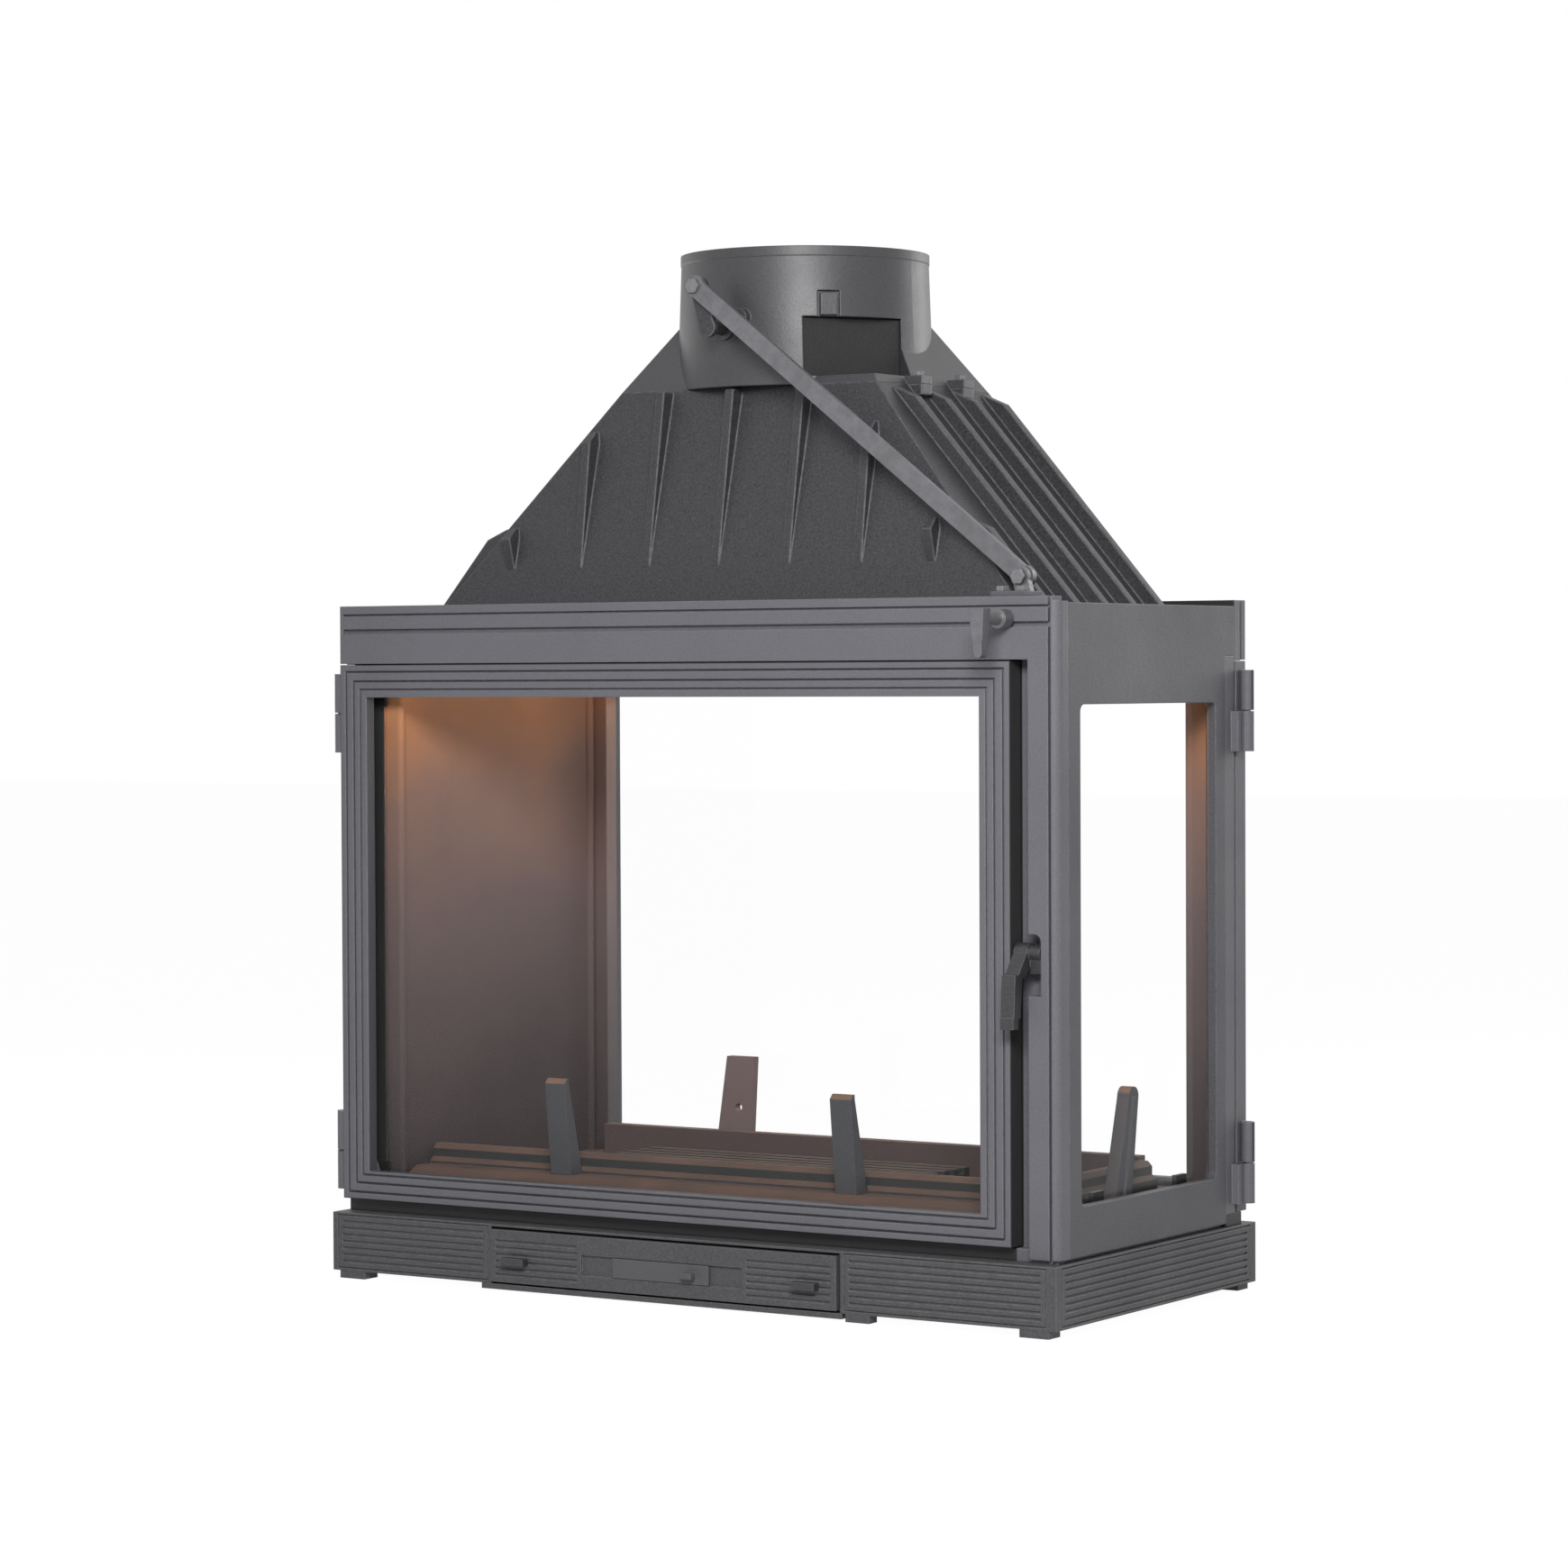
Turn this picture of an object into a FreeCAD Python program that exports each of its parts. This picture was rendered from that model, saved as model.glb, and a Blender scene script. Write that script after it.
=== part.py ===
import FreeCAD, Part
import os
import re

# Three-sided fireplace insert. X runs to the right, Y to the back, Z up, with
# the floor at zero. The front and the rear facade are the same castings, the
# rear one turned half round about the vertical axis of the body.

# Driving sizes in millimetres, angles in degrees
SIZES = {
    # Body
    "body_width": 700,
    "body_depth": 316,
    "front_top": 572,
    "side_drop": 5,
    "wall_thickness": 8,
    "hearth_height": 31,
    "hearth_thickness": 8,
    "rail_rise": 24,
    "rail_width": 16,
    "rail_step": 5,
    "apron_rise": 7.5,
    "log_post_height": 81,
    "log_post_width": 20,
    "log_post_foot": 17,
    "log_post_tip": 6,
    "fireback_thickness": 12,
    "front_post_left": 148.7,
    "post_spacing": 281.4,
    "post_bevel": 4,
    "post_edge": 2,
    "rear_post_left": 121,
    "rear_post_half": 14,
    "rear_post_foot": 36,
    "rear_post_thickness": 8,
    "rear_hole_radius": 3.5,
    "rear_hole_rise": 45.6,
    "rail_inset": 20,
    "rear_rail_start": 98,
    "rear_rail_width": 12,
    "rear_rail_extra": 3,
    "grate_half": 55,
    "grate_bar": 9,
    "grate_rise": 14,
    "grate_tie": 12,
    "fireback_slant": 21,
    "lip_width": 16,
    "lip_play": 0.3,
    "fireback_bead": 4,
    "board_thickness": 24,
    "deck_drop": 46,
    "deck_thickness": 8,
    # Plinth
    "plinth_top": 56,
    "foot_height": 6.5,
    "plinth_side_lip": 3,
    "plinth_front_lip": 11,
    "plinth_wall": 12,
    "beam_height": 10,
    "flute_depth": 1.4,
    "flute_height": 2.4,
    "flute_pitch": 5.6,
    "flute_edge": 10,
    "panel_border": 5,
    "panel_line": 1.2,
    "foot_size": 26,
    # Ash drawer
    "drawer_left": 184,
    "drawer_right": 155,
    "drawer_play": 2,
    "drawer_thickness": 12,
    "drawer_lip": 3,
    "drawer_border": 5,
    "pan_inset": 34,
    "pan_length": 250,
    "pan_wall": 2,
    "slider_left": 60,
    "slider_right": 34,
    "slider_low": 20,
    "slider_height": 16,
    "slider_thickness": 2.3,
    "slider_proud": 0.8,
    "slider_travel": 30,
    "tab_reach": 8,
    # Frames and doors
    "frame_thickness": 16,
    "door_thickness": 17,
    "seal_thickness": 3,
    "seal_width": 8,
    "seal_inset": 6,
    "rail_height": 10,
    "rail_recess": 9,
    "fascia_height": 49,
    "door_gap": 1,
    "post_width": 27,
    "door_channel": 16,
    "bead_radius": 8,
    "joint_line": 0.4,
    "foot_groove": 3,
    "foot_groove_depth": 4,
    "mouth_hinge_inset": 38,
    "mouth_latch_inset": 80,
    "mouth_sill": 28,
    "mouth_head": 26,
    "door_rim": 27.5,
    "door_sill": 24,
    "ring_groove": 2,
    "glass_thickness": 4,
    "glass_lap": 8,
    "glass_play": 1,
    "gasket_thickness": 2,
    "clip_size": 20,
    "clip_thickness": 2.4,
    # Hinges
    "hinge_offset": 6.5,
    "hinge_depth": 9,
    "knuckle_radius": 5.5,
    "knuckle_root": 6,
    "knuckle_height": 33,
    "hinge_low": 74,
    "hinge_high": 74.5,
    "pin_radius": 3,
    "running_fit": 0.05,
    # Latches
    "latch_height": 296,
    "latch_reach": 20,
    "latch_thickness": 12,
    "latch_boss": 8,
    "notch_width": 11,
    "notch_low": 33,
    "notch_high": 15,
    # Side window
    "window_front": 35,
    "window_rear": 17,
    "window_low": 98,
    "window_high": 488,
    "window_round": 6,
    "side_gasket": 3,
    "pane_lap": 10.5,
    # Hood and flue
    "hood_x": 3,
    "flue_y": 28,
    "hood_side_margin": 37,
    "hood_front_margin": 41,
    "hood_rear_margin": 22,
    "hood_wall": 7,
    "seam_half_x": 125.5,
    "seam_half_y": 90,
    "collar_top": 864,
    "cap_height": 114,
    "cap_slope_height": 56,
    "cap_slope_run": 36,
    "collar_radius": 104,
    "collar_taper": 4,
    "collar_band": 0.8,
    "band_height": 8,
    "flue_radius": 95,
    "socket_radius": 100.3,
    "socket_depth": 30,
    "rib_shift": 8,
    "rib_pitch": 69,
    "rib_width": 8,
    "rib_proud": 14,
    "fin_proud": 15,
    "fin_middle": 9.5,
    "fin_pitch": 47.75,
    "hatch_angle": 34,
    "hatch_floor": 90,
    "hatch_half": 44,
    "hatch_plate": 3.5,
    "hatch_top": 56,
    "lug_angle": 47,
    "lug_half": 7,
    "lug_height": 18,
    "lug_gap": 2.2,
    "notch_depth": 4.5,
    "seam_lug": 16,
    "bolt_radius": 3,
    "bolt_head": 5.5,
    "bolt_head_height": 4,
    "bolt_grip": 7,
    "baffle_half": 150,
    "baffle_rise": 14,
    "baffle_thickness": 6,
    "baffle_margin": 17,
    # Damper
    "lever_inset": 46,
    "lever_drop": 17.6,
    "lever_reach": 46,
    "lever_length": 27,
    "lever_tip": 3.5,
    "shaft_radius": 5,
    "axle_offset": 9,
    "axle_drop": 67,
    "crank_lean": 9,
    "crank_rise": 33.5,
    "crank_thickness": 5.5,
    "link_depth": 46,
    "link_thickness": 5,
    "link_width": 15,
    "side_play": 1,
    "flap_radius": 82,
    "flap_thickness": 6,
    "bracket_thickness": 4,
}

doc = FreeCAD.newDocument("FireplaceInsert")
sheet = doc.addObject("Spreadsheet::Sheet", "Sizes")
for row, (alias, value) in enumerate(SIZES.items(), start=1):
    sheet.set(f"A{row}", alias)
    sheet.set(f"B{row}", str(value))
    sheet.setAlias(f"B{row}", alias)
doc.recompute()

# Planes that several pieces share, as expressions of the sizes
MID = "((lever_reach - latch_reach) / 2)"
LEFT = "(-body_width / 2)"
RIGHT = "(body_width / 2)"
FRONT = "(-body_depth / 2)"
SEAT = f"({FRONT} + door_thickness + seal_thickness)"
DOOR_BACK = f"({FRONT} + door_thickness)"
INNER = f"({SEAT} + frame_thickness)"
BACK = f"(-{INNER})"
SKIN_LEFT = f"({LEFT} + wall_thickness)"
SKIN_RIGHT = f"({RIGHT} - wall_thickness)"
SIDE_TOP = "(front_top - side_drop)"
HEARTH = "(plinth_top + hearth_height)"
DECK = "(front_top - deck_drop)"
HOOD_LOW = "(front_top - deck_drop + deck_thickness)"
SEAM = "(collar_top - cap_height)"
DOOR_RIGHT = f"({RIGHT} - post_width - door_channel)"
DOOR_LOW = "(plinth_top + rail_height + door_gap)"
DOOR_HIGH = "(front_top - fascia_height - door_gap)"
POST_LEFT = f"({RIGHT} - post_width)"
MOUTH = (f"({LEFT} + mouth_hinge_inset)", f"({RIGHT} - mouth_latch_inset)")
MOUTH_LOW = "(plinth_top + mouth_sill)"
MOUTH_HIGH = f"({DECK} - mouth_head)"
SIDE_START = f"({FRONT} + 2 * bead_radius + joint_line)"
FOOT_LINE = "(plinth_top + foot_groove)"
VIEW = (f"({LEFT} + door_rim)", f"({DOOR_RIGHT} - door_rim)")
VIEW_LOW = f"({DOOR_LOW} + door_sill)"
VIEW_HIGH = f"({DOOR_HIGH} - door_rim)"
PLINTH_X = "(body_width / 2 + plinth_side_lip)"
PLINTH_Y = "(body_depth / 2 + plinth_front_lip)"
HINGE_X = f"({LEFT} - hinge_offset)"
HINGE_Y = f"({FRONT} + hinge_depth)"
PIN_HOLE = "(pin_radius + running_fit)"
LEVER_X = f"({RIGHT} - lever_inset)"
LEVER_Z = "(front_top - lever_drop)"
AXLE_X = "(hood_x - axle_offset)"
AXLE_Z = "(collar_top - axle_drop)"
EYE_LOW = (f"({LEVER_X} - crank_lean)", f"({LEVER_Z} + crank_rise)")
EYE_HIGH = (f"({AXLE_X} - crank_lean)", f"({AXLE_Z} + crank_rise)")
LINK_FRONT = f"({FRONT} + link_depth - link_thickness / 2)"
LINK_BACK = f"({FRONT} + link_depth + link_thickness / 2)"
LOW_CRANK_BACK = f"({LINK_FRONT} - side_play)"
LOW_CRANK_FRONT = f"({LOW_CRANK_BACK} - crank_thickness)"
HIGH_CRANK_FRONT = f"({LINK_BACK} + side_play)"
HIGH_CRANK_BACK = f"({HIGH_CRANK_FRONT} + crank_thickness)"


def bind(item, prop, text):
    """Bind one property to an expression written with the plain size names."""
    named = re.sub(r"[a-z]\w*", lambda m: f"Sizes.{m[0]}" if m[0] in SIZES else m[0], str(text))
    item.setExpression(prop, named)


def turn(item, axis, degrees):
    item.Placement = FreeCAD.Placement(FreeCAD.Vector(), FreeCAD.Rotation(axis, degrees))


def place(item, x, y, z):
    """Bind where an item sits; y is measured from the middle of the body."""
    bind(item, "Placement.Base.x", x)
    bind(item, "Placement.Base.y", f"({y}) + {MID}")
    bind(item, "Placement.Base.z", z)


def box(x0, x1, y0, y1, z0, z1):
    item = doc.addObject("Part::Box", "Block")
    bind(item, "Length", f"({x1}) - ({x0})")
    bind(item, "Width", f"({y1}) - ({y0})")
    bind(item, "Height", f"({z1}) - ({z0})")
    place(item, x0, y0, z0)
    return item


def lay(item, axis, x, y, z, end):
    """Lay an upright bar from x, y, z along one axis to the coordinate end."""
    start = {"x": x, "y": y, "z": z}[axis]
    bind(item, "Height", f"({end}) - ({start})")
    if axis == "x":
        turn(item, FreeCAD.Vector(0, 1, 0), 90)
    if axis == "y":
        turn(item, FreeCAD.Vector(-1, 0, 0), 90)
    place(item, x, y, z)
    return item


def rod(axis, x, y, z, end, radius):
    """Round bar along one axis."""
    item = doc.addObject("Part::Cylinder", "Rod")
    bind(item, "Radius", radius)
    return lay(item, axis, x, y, z, end)


def hexagon(axis, x, y, z, end, radius):
    """Six-sided bar along one axis, such as the head of a bolt."""
    item = doc.addObject("Part::Prism", "Hexagon")
    item.Polygon = 6
    bind(item, "Circumradius", radius)
    return lay(item, axis, x, y, z, end)


def cone(x, y, z0, z1, low, high):
    """Upright round taper with its radius below and above."""
    item = doc.addObject("Part::Cone", "Cone")
    bind(item, "Radius1", low)
    bind(item, "Radius2", high)
    return lay(item, "z", x, y, z0, z1)


def frustum(z0, z1, low, high):
    """Upright block whose low and high rectangles (x0, x1, y0, y1) differ."""
    item = doc.addObject("Part::Wedge", "Taper")
    bind(item, "Ymin", z0)
    bind(item, "Ymax", z1)
    for mark, (x0, x1, y0, y1) in (("", low), ("2", high)):
        bind(item, f"X{mark}min", x0)
        bind(item, f"X{mark}max", x1)
        bind(item, f"Z{mark}min", f"-({y1})")
        bind(item, f"Z{mark}max", f"-({y0})")
    turn(item, FreeCAD.Vector(1, 0, 0), 90)
    place(item, "0", "0", "0")
    return item


def drawn_block(y0, y1, near, far):
    """Block along Y whose near and far rectangles (x0, x1, z0, z1) differ."""
    item = doc.addObject("Part::Wedge", "Drawn")
    bind(item, "Ymin", y0)
    bind(item, "Ymax", y1)
    for mark, (x0, x1, z0, z1) in (("", near), ("2", far)):
        bind(item, f"X{mark}min", x0)
        bind(item, f"X{mark}max", x1)
        bind(item, f"Z{mark}min", z0)
        bind(item, f"Z{mark}max", z1)
    place(item, "0", "0", "0")
    return item


def radial_box(angle, r0, r1, half, z0, z1):
    """Block standing out from the flue axis, turned by angle towards the front."""
    item = doc.addObject("Part::Box", "Radial")
    bind(item, "Length", f"({r1}) - ({r0})")
    bind(item, "Width", f"2 * ({half})")
    bind(item, "Height", f"({z1}) - ({z0})")
    degrees = f"{angle} * 1 deg"
    turn(item, FreeCAD.Vector(0, 0, -1), SIZES[angle])
    bind(item, "Placement.Rotation.Angle", degrees)
    x = f"hood_x + ({r0}) * cos({degrees}) - ({half}) * sin({degrees})"
    y = f"flue_y - ({r0}) * sin({degrees}) - ({half}) * cos({degrees})"
    place(item, x, y, z0)
    return item


def join(*items):
    if len(items) == 1:
        return items[0]
    item = doc.addObject("Part::MultiFuse", "Joined")
    item.Shapes = list(items)
    item.Refine = True
    return item


def cut(base, *tools):
    item = doc.addObject("Part::Cut", "Cut")
    item.Base = base
    item.Tool = join(*tools)
    item.Refine = True
    return item


def group(*items):
    """Several separate solids of one node."""
    item = doc.addObject("Part::Compound", "Group")
    item.Links = list(items)
    return item


def half_turn(item):
    """Turn a finished piece half round about the vertical axis of the body."""
    turned = group(item)
    turn(turned, FreeCAD.Vector(0, 0, 1), 180)
    bind(turned, "Placement.Base.y", f"2 * {MID}")
    return turned


def ring(x, z, y, inset, width):
    """Flat rectangular ring in the facade plane, inset from the x and z spans."""
    outer, inner = f"({inset})", f"({inset} + {width})"
    (x0, x1), (y0, y1), (z0, z1) = x, y, z
    whole = box(f"{x0} + {outer}", f"{x1} - {outer}", y0, y1, f"{z0} + {outer}", f"{z1} - {outer}")
    hole = box(f"{x0} + {inner}", f"{x1} - {inner}", y0, y1, f"{z0} + {inner}", f"{z1} - {inner}")
    return cut(whole, hole)


def rounded_window(x0, x1):
    """Side window opening with rounded corners, cut along X."""
    y0, y1 = f"({FRONT} + window_front)", f"({BACK} - window_rear)"
    z0, z1 = "window_low", "window_high"
    r = "window_round"
    bars = [
        box(x0, x1, f"{y0} + {r}", f"{y1} - {r}", z0, z1),
        box(x0, x1, y0, y1, f"{z0} + {r}", f"{z1} - {r}"),
    ]
    corners = [
        rod("x", x0, y, z, x1, r)
        for y in (f"{y0} + {r}", f"{y1} - {r}")
        for z in (f"{z0} + {r}", f"{z1} - {r}")
    ]
    return join(*bars, *corners)


# Plinth and ash drawer


def plinth():
    outer = box(f"-{PLINTH_X}", PLINTH_X, f"-{PLINTH_Y}", PLINTH_Y, "foot_height", "plinth_top")
    x_in, y_in = f"({PLINTH_X} - plinth_wall)", f"({PLINTH_Y} - plinth_wall)"
    hollow = box(f"-{x_in}", x_in, f"-{y_in}", y_in, "foot_height", "plinth_top")
    mouth = box(
        "-drawer_left - drawer_play",
        "drawer_right + drawer_play",
        f"-{PLINTH_Y}",
        f"-{y_in}",
        "foot_height",
        "plinth_top - drawer_play",
    )
    beams = [
        box(f"-{x_in} - 1", f"{x_in} + 1", y0, y1, "plinth_top - beam_height", "plinth_top")
        for y0, y1 in ((f"-{y_in}", f"{INNER} + 17"), (f"-{INNER} - 17", y_in))
    ]
    feet = [
        box(f"{x} - foot_size / 2", f"{x} + foot_size / 2", f"{y} - 9", f"{y} + 9", "0", "foot_height + 4")
        for x in (f"-({PLINTH_X} - 20)", f"({PLINTH_X} - 20)")
        for y in (f"-({PLINTH_Y} - 9.5)", f"({PLINTH_Y} - 9.5)")
    ]
    x_mid = "(drawer_right + 18)"
    feet.append(box(f"{x_mid} - 11", f"{x_mid} + 11", f"-{PLINTH_Y}", f"-{y_in}", "0", "foot_height + 4"))
    return cut(join(cut(outer, hollow, mouth), *beams, *feet), *plinth_flutes())


def plinth_panels():
    """Fluted panels of the plinth: the axis they run along, both ends, and the skin they are cut in."""
    front = (f"-{PLINTH_Y}", f"-{PLINTH_Y} + flute_depth")
    rear = (f"{PLINTH_Y} - flute_depth", PLINTH_Y)
    side = (f"{PLINTH_X} - flute_depth", PLINTH_X)
    corner = "1.4 * flute_edge"
    return (
        ("x", f"(-{PLINTH_X} + flute_edge)", "(-drawer_left - flute_edge)", front),
        ("x", "(drawer_right + flute_edge)", f"({PLINTH_X} - {corner})", front),
        ("x", f"(-{PLINTH_X} + {corner})", f"({PLINTH_X} - flute_edge)", rear),
        ("y", f"(-{PLINTH_Y} + {corner})", f"({PLINTH_Y} - {corner})", side),
    )


def skin_box(axis, start, end, skin, z0, z1):
    """Box along X or Y as thick as the skin that it is cut in."""
    if axis == "x":
        return box(start, end, *skin, z0, z1)
    return box(*skin, start, end, z0, z1)


def plinth_flutes():
    """Level flutes in each panel of the plinth, and a fine line round the border of the panel."""
    rows = 7
    low = "(foot_height + 7)"
    high = f"({low} + {rows - 1} * flute_pitch + flute_height)"
    grooves = []
    for axis, start, end, skin in plinth_panels():
        for row in range(rows):
            z0 = f"({low} + {row} * flute_pitch)"
            grooves.append(skin_box(axis, start, end, skin, z0, f"{z0} + flute_height"))
        frames = [
            skin_box(axis, f"{start} - {reach}", f"{end} + {reach}", skin, f"{low} - {reach}", f"{high} + {reach}")
            for reach in ("panel_border", "(panel_border - panel_line)")
        ]
        grooves.append(cut(*frames))
    return grooves


def drawer_shelf():
    """Shelf strip under the ash drawer, hung from the underside of the plinth."""
    return box(
        "-drawer_left - 11",
        "drawer_right + 4",
        f"-{PLINTH_Y} - 1",
        "0",
        "2",
        "foot_height",
    )


DRAWER_FACE = f"(-{PLINTH_Y} - drawer_lip)"
DRAWER_BACK = f"({DRAWER_FACE} + drawer_thickness)"


def drawer_front():
    low, high = "(foot_height + drawer_play)", "(plinth_top - 2 * drawer_play)"
    plate = box("-drawer_left", "drawer_right", DRAWER_FACE, DRAWER_BACK, low, high)
    x0 = "(-slider_left - slider_travel - 2)"
    x1 = "(slider_right + slider_travel + 2)"
    z0, z1 = "(slider_low - 0.5)", "(slider_low + slider_height + 0.5)"
    track = box(x0, x1, DRAWER_FACE, f"{DRAWER_FACE} + slider_thickness", z0, z1)
    slots = [
        box(f"{x} - 9", f"{x} + 9", DRAWER_FACE, DRAWER_BACK, f"{z0} + 4", f"{z1} - 4")
        for x in ("-42", "-13", "16")
    ]
    flute_back = f"{DRAWER_FACE} + flute_depth"
    border = "drawer_border"
    flutes = [
        box(xa, xb, DRAWER_FACE, flute_back, z, f"{z} + flute_height")
        for z in (f"({low} + {border} + {row} * flute_pitch)" for row in range(6))
        for xa, xb in ((f"-drawer_left + {border}", f"{x0} - 4"), (f"{x1} + 4", f"drawer_right - {border}"))
    ]
    return cut(plate, track, *slots, *flutes)


def air_slider():
    """Plain plate that covers the three air slots; pushed either way it bares one of them."""
    z0, z1 = "slider_low", "(slider_low + slider_height)"
    y0, y1 = f"({DRAWER_FACE} - slider_proud)", f"({DRAWER_FACE} + slider_thickness)"
    plate = box("-slider_left", "slider_right", y0, y1, z0, z1)
    tab = box("slider_right - 22", "slider_right - 12", f"{DRAWER_FACE} - tab_reach", f"{y0} + 1", "25", "30")
    return join(plate, tab)


def drawer_pulls():
    return group(*[
        box(f"{x} - 11", f"{x} + 11", f"{DRAWER_FACE} - tab_reach", DRAWER_FACE, "24", "30")
        for x in ("(-drawer_left + 27)", "(drawer_right - 27)")
    ])


def ash_pan():
    x0, x1 = "(-drawer_left + pan_inset)", "(drawer_right - pan_inset)"
    y1 = f"({DRAWER_BACK} + pan_length)"
    z0, z1 = "foot_height", "(plinth_top - beam_height - 2)"
    body = box(x0, x1, DRAWER_BACK, y1, z0, z1)
    wall = "pan_wall"
    y0 = f"{DRAWER_BACK} + {wall}"
    hollow = box(f"{x0} + {wall}", f"{x1} - {wall}", y0, f"{y1} - {wall}", f"{z0} + {wall}", z1)
    return cut(body, hollow)


# Firebox floor and walls


def hearth_plate():
    """Hearth casting: a plate on a skirt, with the ash slot in the middle."""
    block = box(SKIN_LEFT, SKIN_RIGHT, INNER, BACK, "plinth_top", HEARTH)
    ceiling = f"({HEARTH} - hearth_thickness)"
    x0, x1 = f"{SKIN_LEFT} + 10", f"{SKIN_RIGHT} - 10"
    hollow = box(x0, x1, f"{INNER} + 10", f"{BACK} - 10", "plinth_top", ceiling)
    slot = box("-drawer_left + pan_inset + 12", "drawer_right - pan_inset - 12", "-40", "40", ceiling, HEARTH)
    return cut(block, hollow, slot)


RAIL_FRONT = f"({INNER} + rail_inset)"
RAIL_REAR = f"({BACK} - rail_inset)"
RAIL_RIGHT = f"({SKIN_RIGHT} - 40)"


def grate():
    """Grate of level bars along X, tied by three cross bars over the ash slot."""
    x0, x1 = "(-drawer_left + 10)", "(drawer_right - 10)"
    places = [f"(-grate_half + {number} * (2 * grate_half - grate_bar) / 6)" for number in range(7)]
    bars = [box(x0, x1, y, f"{y} + grate_bar", HEARTH, f"{HEARTH} + grate_rise") for y in places]
    ties = [
        box(x, f"{x} + grate_tie", "-grate_half", "grate_half", HEARTH, f"{HEARTH} + grate_bar")
        for x in (x0, f"(({x0} + {x1} - grate_tie) / 2)", f"({x1} - grate_tie)")
    ]
    return join(*bars, *ties)


def stepped_rail(foot, side):
    """Rail standing on the rectangle foot; one of its sides steps in twice over sloping edges."""
    inward = "-" if side == 1 else "+"
    levels = (
        ("0", "0"),
        ("rail_rise - 14.5", "0"),
        ("rail_rise - 11", "rail_step"),
        ("rail_rise - 4", "rail_step"),
        ("rail_rise", "(rail_step + 4)"),
    )
    spans = []
    for rise, drawn in levels:
        span = list(foot)
        span[side] = f"({foot[side]} {inward} {drawn})"
        spans.append((f"({HEARTH} + {rise})", span))
    return [frustum(z0, z1, low, high) for (z0, low), (z1, high) in zip(spans, spans[1:])]


def front_log_rail():
    """Stepped rail along the front, with a foot that slopes down through the mouth."""
    x0, x1 = f"({LEFT} + 50)", f"({RAIL_RIGHT} - rail_width - 2)"
    steps = stepped_rail((x0, x1, RAIL_FRONT, f"({RAIL_FRONT} + rail_width)"), 2)
    top = f"({HEARTH} + apron_rise)"
    x1 = f"({MOUTH[1]} - 1)"
    foot = box(x0, x1, f"{INNER} + 1", f"{RAIL_FRONT} + 1", HEARTH, top)
    low, high = (x0, x1, f"{SEAT} + 2.5", f"{INNER} + 2"), (x0, x1, f"{INNER} + 1", f"{INNER} + 2")
    apron = frustum(HEARTH, top, low, high)
    return join(*steps, foot, apron)


def rear_log_rail():
    """Rail along the rear of the hearth, a little higher than the front one."""
    x0, x1 = f"{LEFT} + rear_rail_start", f"{RAIL_RIGHT} - rail_width - 2"
    top = f"{HEARTH} + rail_rise + rear_rail_extra"
    return box(x0, x1, f"{RAIL_REAR} - rear_rail_width", RAIL_REAR, HEARTH, top)


def side_log_rail():
    """Stepped rail along the right side of the hearth."""
    foot = (f"({RAIL_RIGHT} - rail_width)", RAIL_RIGHT, f"({RAIL_FRONT} + 1)", f"({RAIL_REAR} - rear_rail_width)")
    return join(*stepped_rail(foot, 1))


POST_FOOT = f"({HEARTH} + apron_rise)"
POST_TOP = f"({POST_FOOT} + log_post_height)"


def front_log_posts():
    """Posts on the foot of the front rail, thick below and thin above, with a bevelled tip."""
    posts = []
    for x in ("(-front_post_left)", "(post_spacing - front_post_left)"):
        x0, x1 = f"{x} - log_post_width / 2", f"{x} + log_post_width / 2"
        base = (x0, x1, f"{RAIL_FRONT} - 1 - log_post_foot", f"{RAIL_FRONT} - 1")
        high = (x0, x1, f"{INNER} - log_post_tip", INNER)
        tip = (x0, x1, f"{INNER} - post_edge", INNER)
        neck = f"({POST_TOP} - post_bevel)"
        posts.append(join(frustum(POST_FOOT, neck, base, high), frustum(neck, POST_TOP, high, tip)))
    return group(*posts)


def rear_log_posts():
    """Flat posts on the hearth by the rear door, wider below, each with a hole."""
    y0, y1 = f"({BACK} - post_edge - rear_post_thickness)", f"({BACK} - post_edge)"
    posts = []
    for x in ("(-rear_post_left)", "(post_spacing - rear_post_left)"):
        low = (f"{x} - 3 * rear_post_foot / 4", f"{x} + rear_post_foot / 4", y0, y1)
        high = (f"{x} - rear_post_half", f"{x} + rear_post_half", y0, y1)
        plate = frustum(HEARTH, f"{POST_TOP} + post_edge", low, high)
        hole = rod("y", f"{x} - post_edge", y0, f"{HEARTH} + rear_hole_rise", y1, "rear_hole_radius")
        posts.append(cut(plate, hole))
    return group(*posts)


def side_log_post():
    """Log post facing out of the right side, leaning back, with a rounded top."""
    x, lean = f"({RAIL_RIGHT} + 6)", "16"
    high = f"({HEARTH} + 83)"
    stem = frustum(
        HEARTH,
        high,
        (f"{x} - 5.5", f"{x} + 5.5", "-4", "24"),
        (f"{x} - 5.5", f"{x} + 5.5", f"4 + {lean}", f"20 + {lean}"),
    )
    crown = rod("x", f"{x} - 5.5", f"12 + {lean}", high, f"{x} + 5.5", "8")
    ridge = frustum(
        HEARTH,
        high,
        (f"{x} + 5", f"{x} + 8", "8", "16"),
        (f"{x} + 5", f"{x} + 8", f"9 + {lean}", f"15 + {lean}"),
    )
    return join(stem, crown, ridge)


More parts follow.
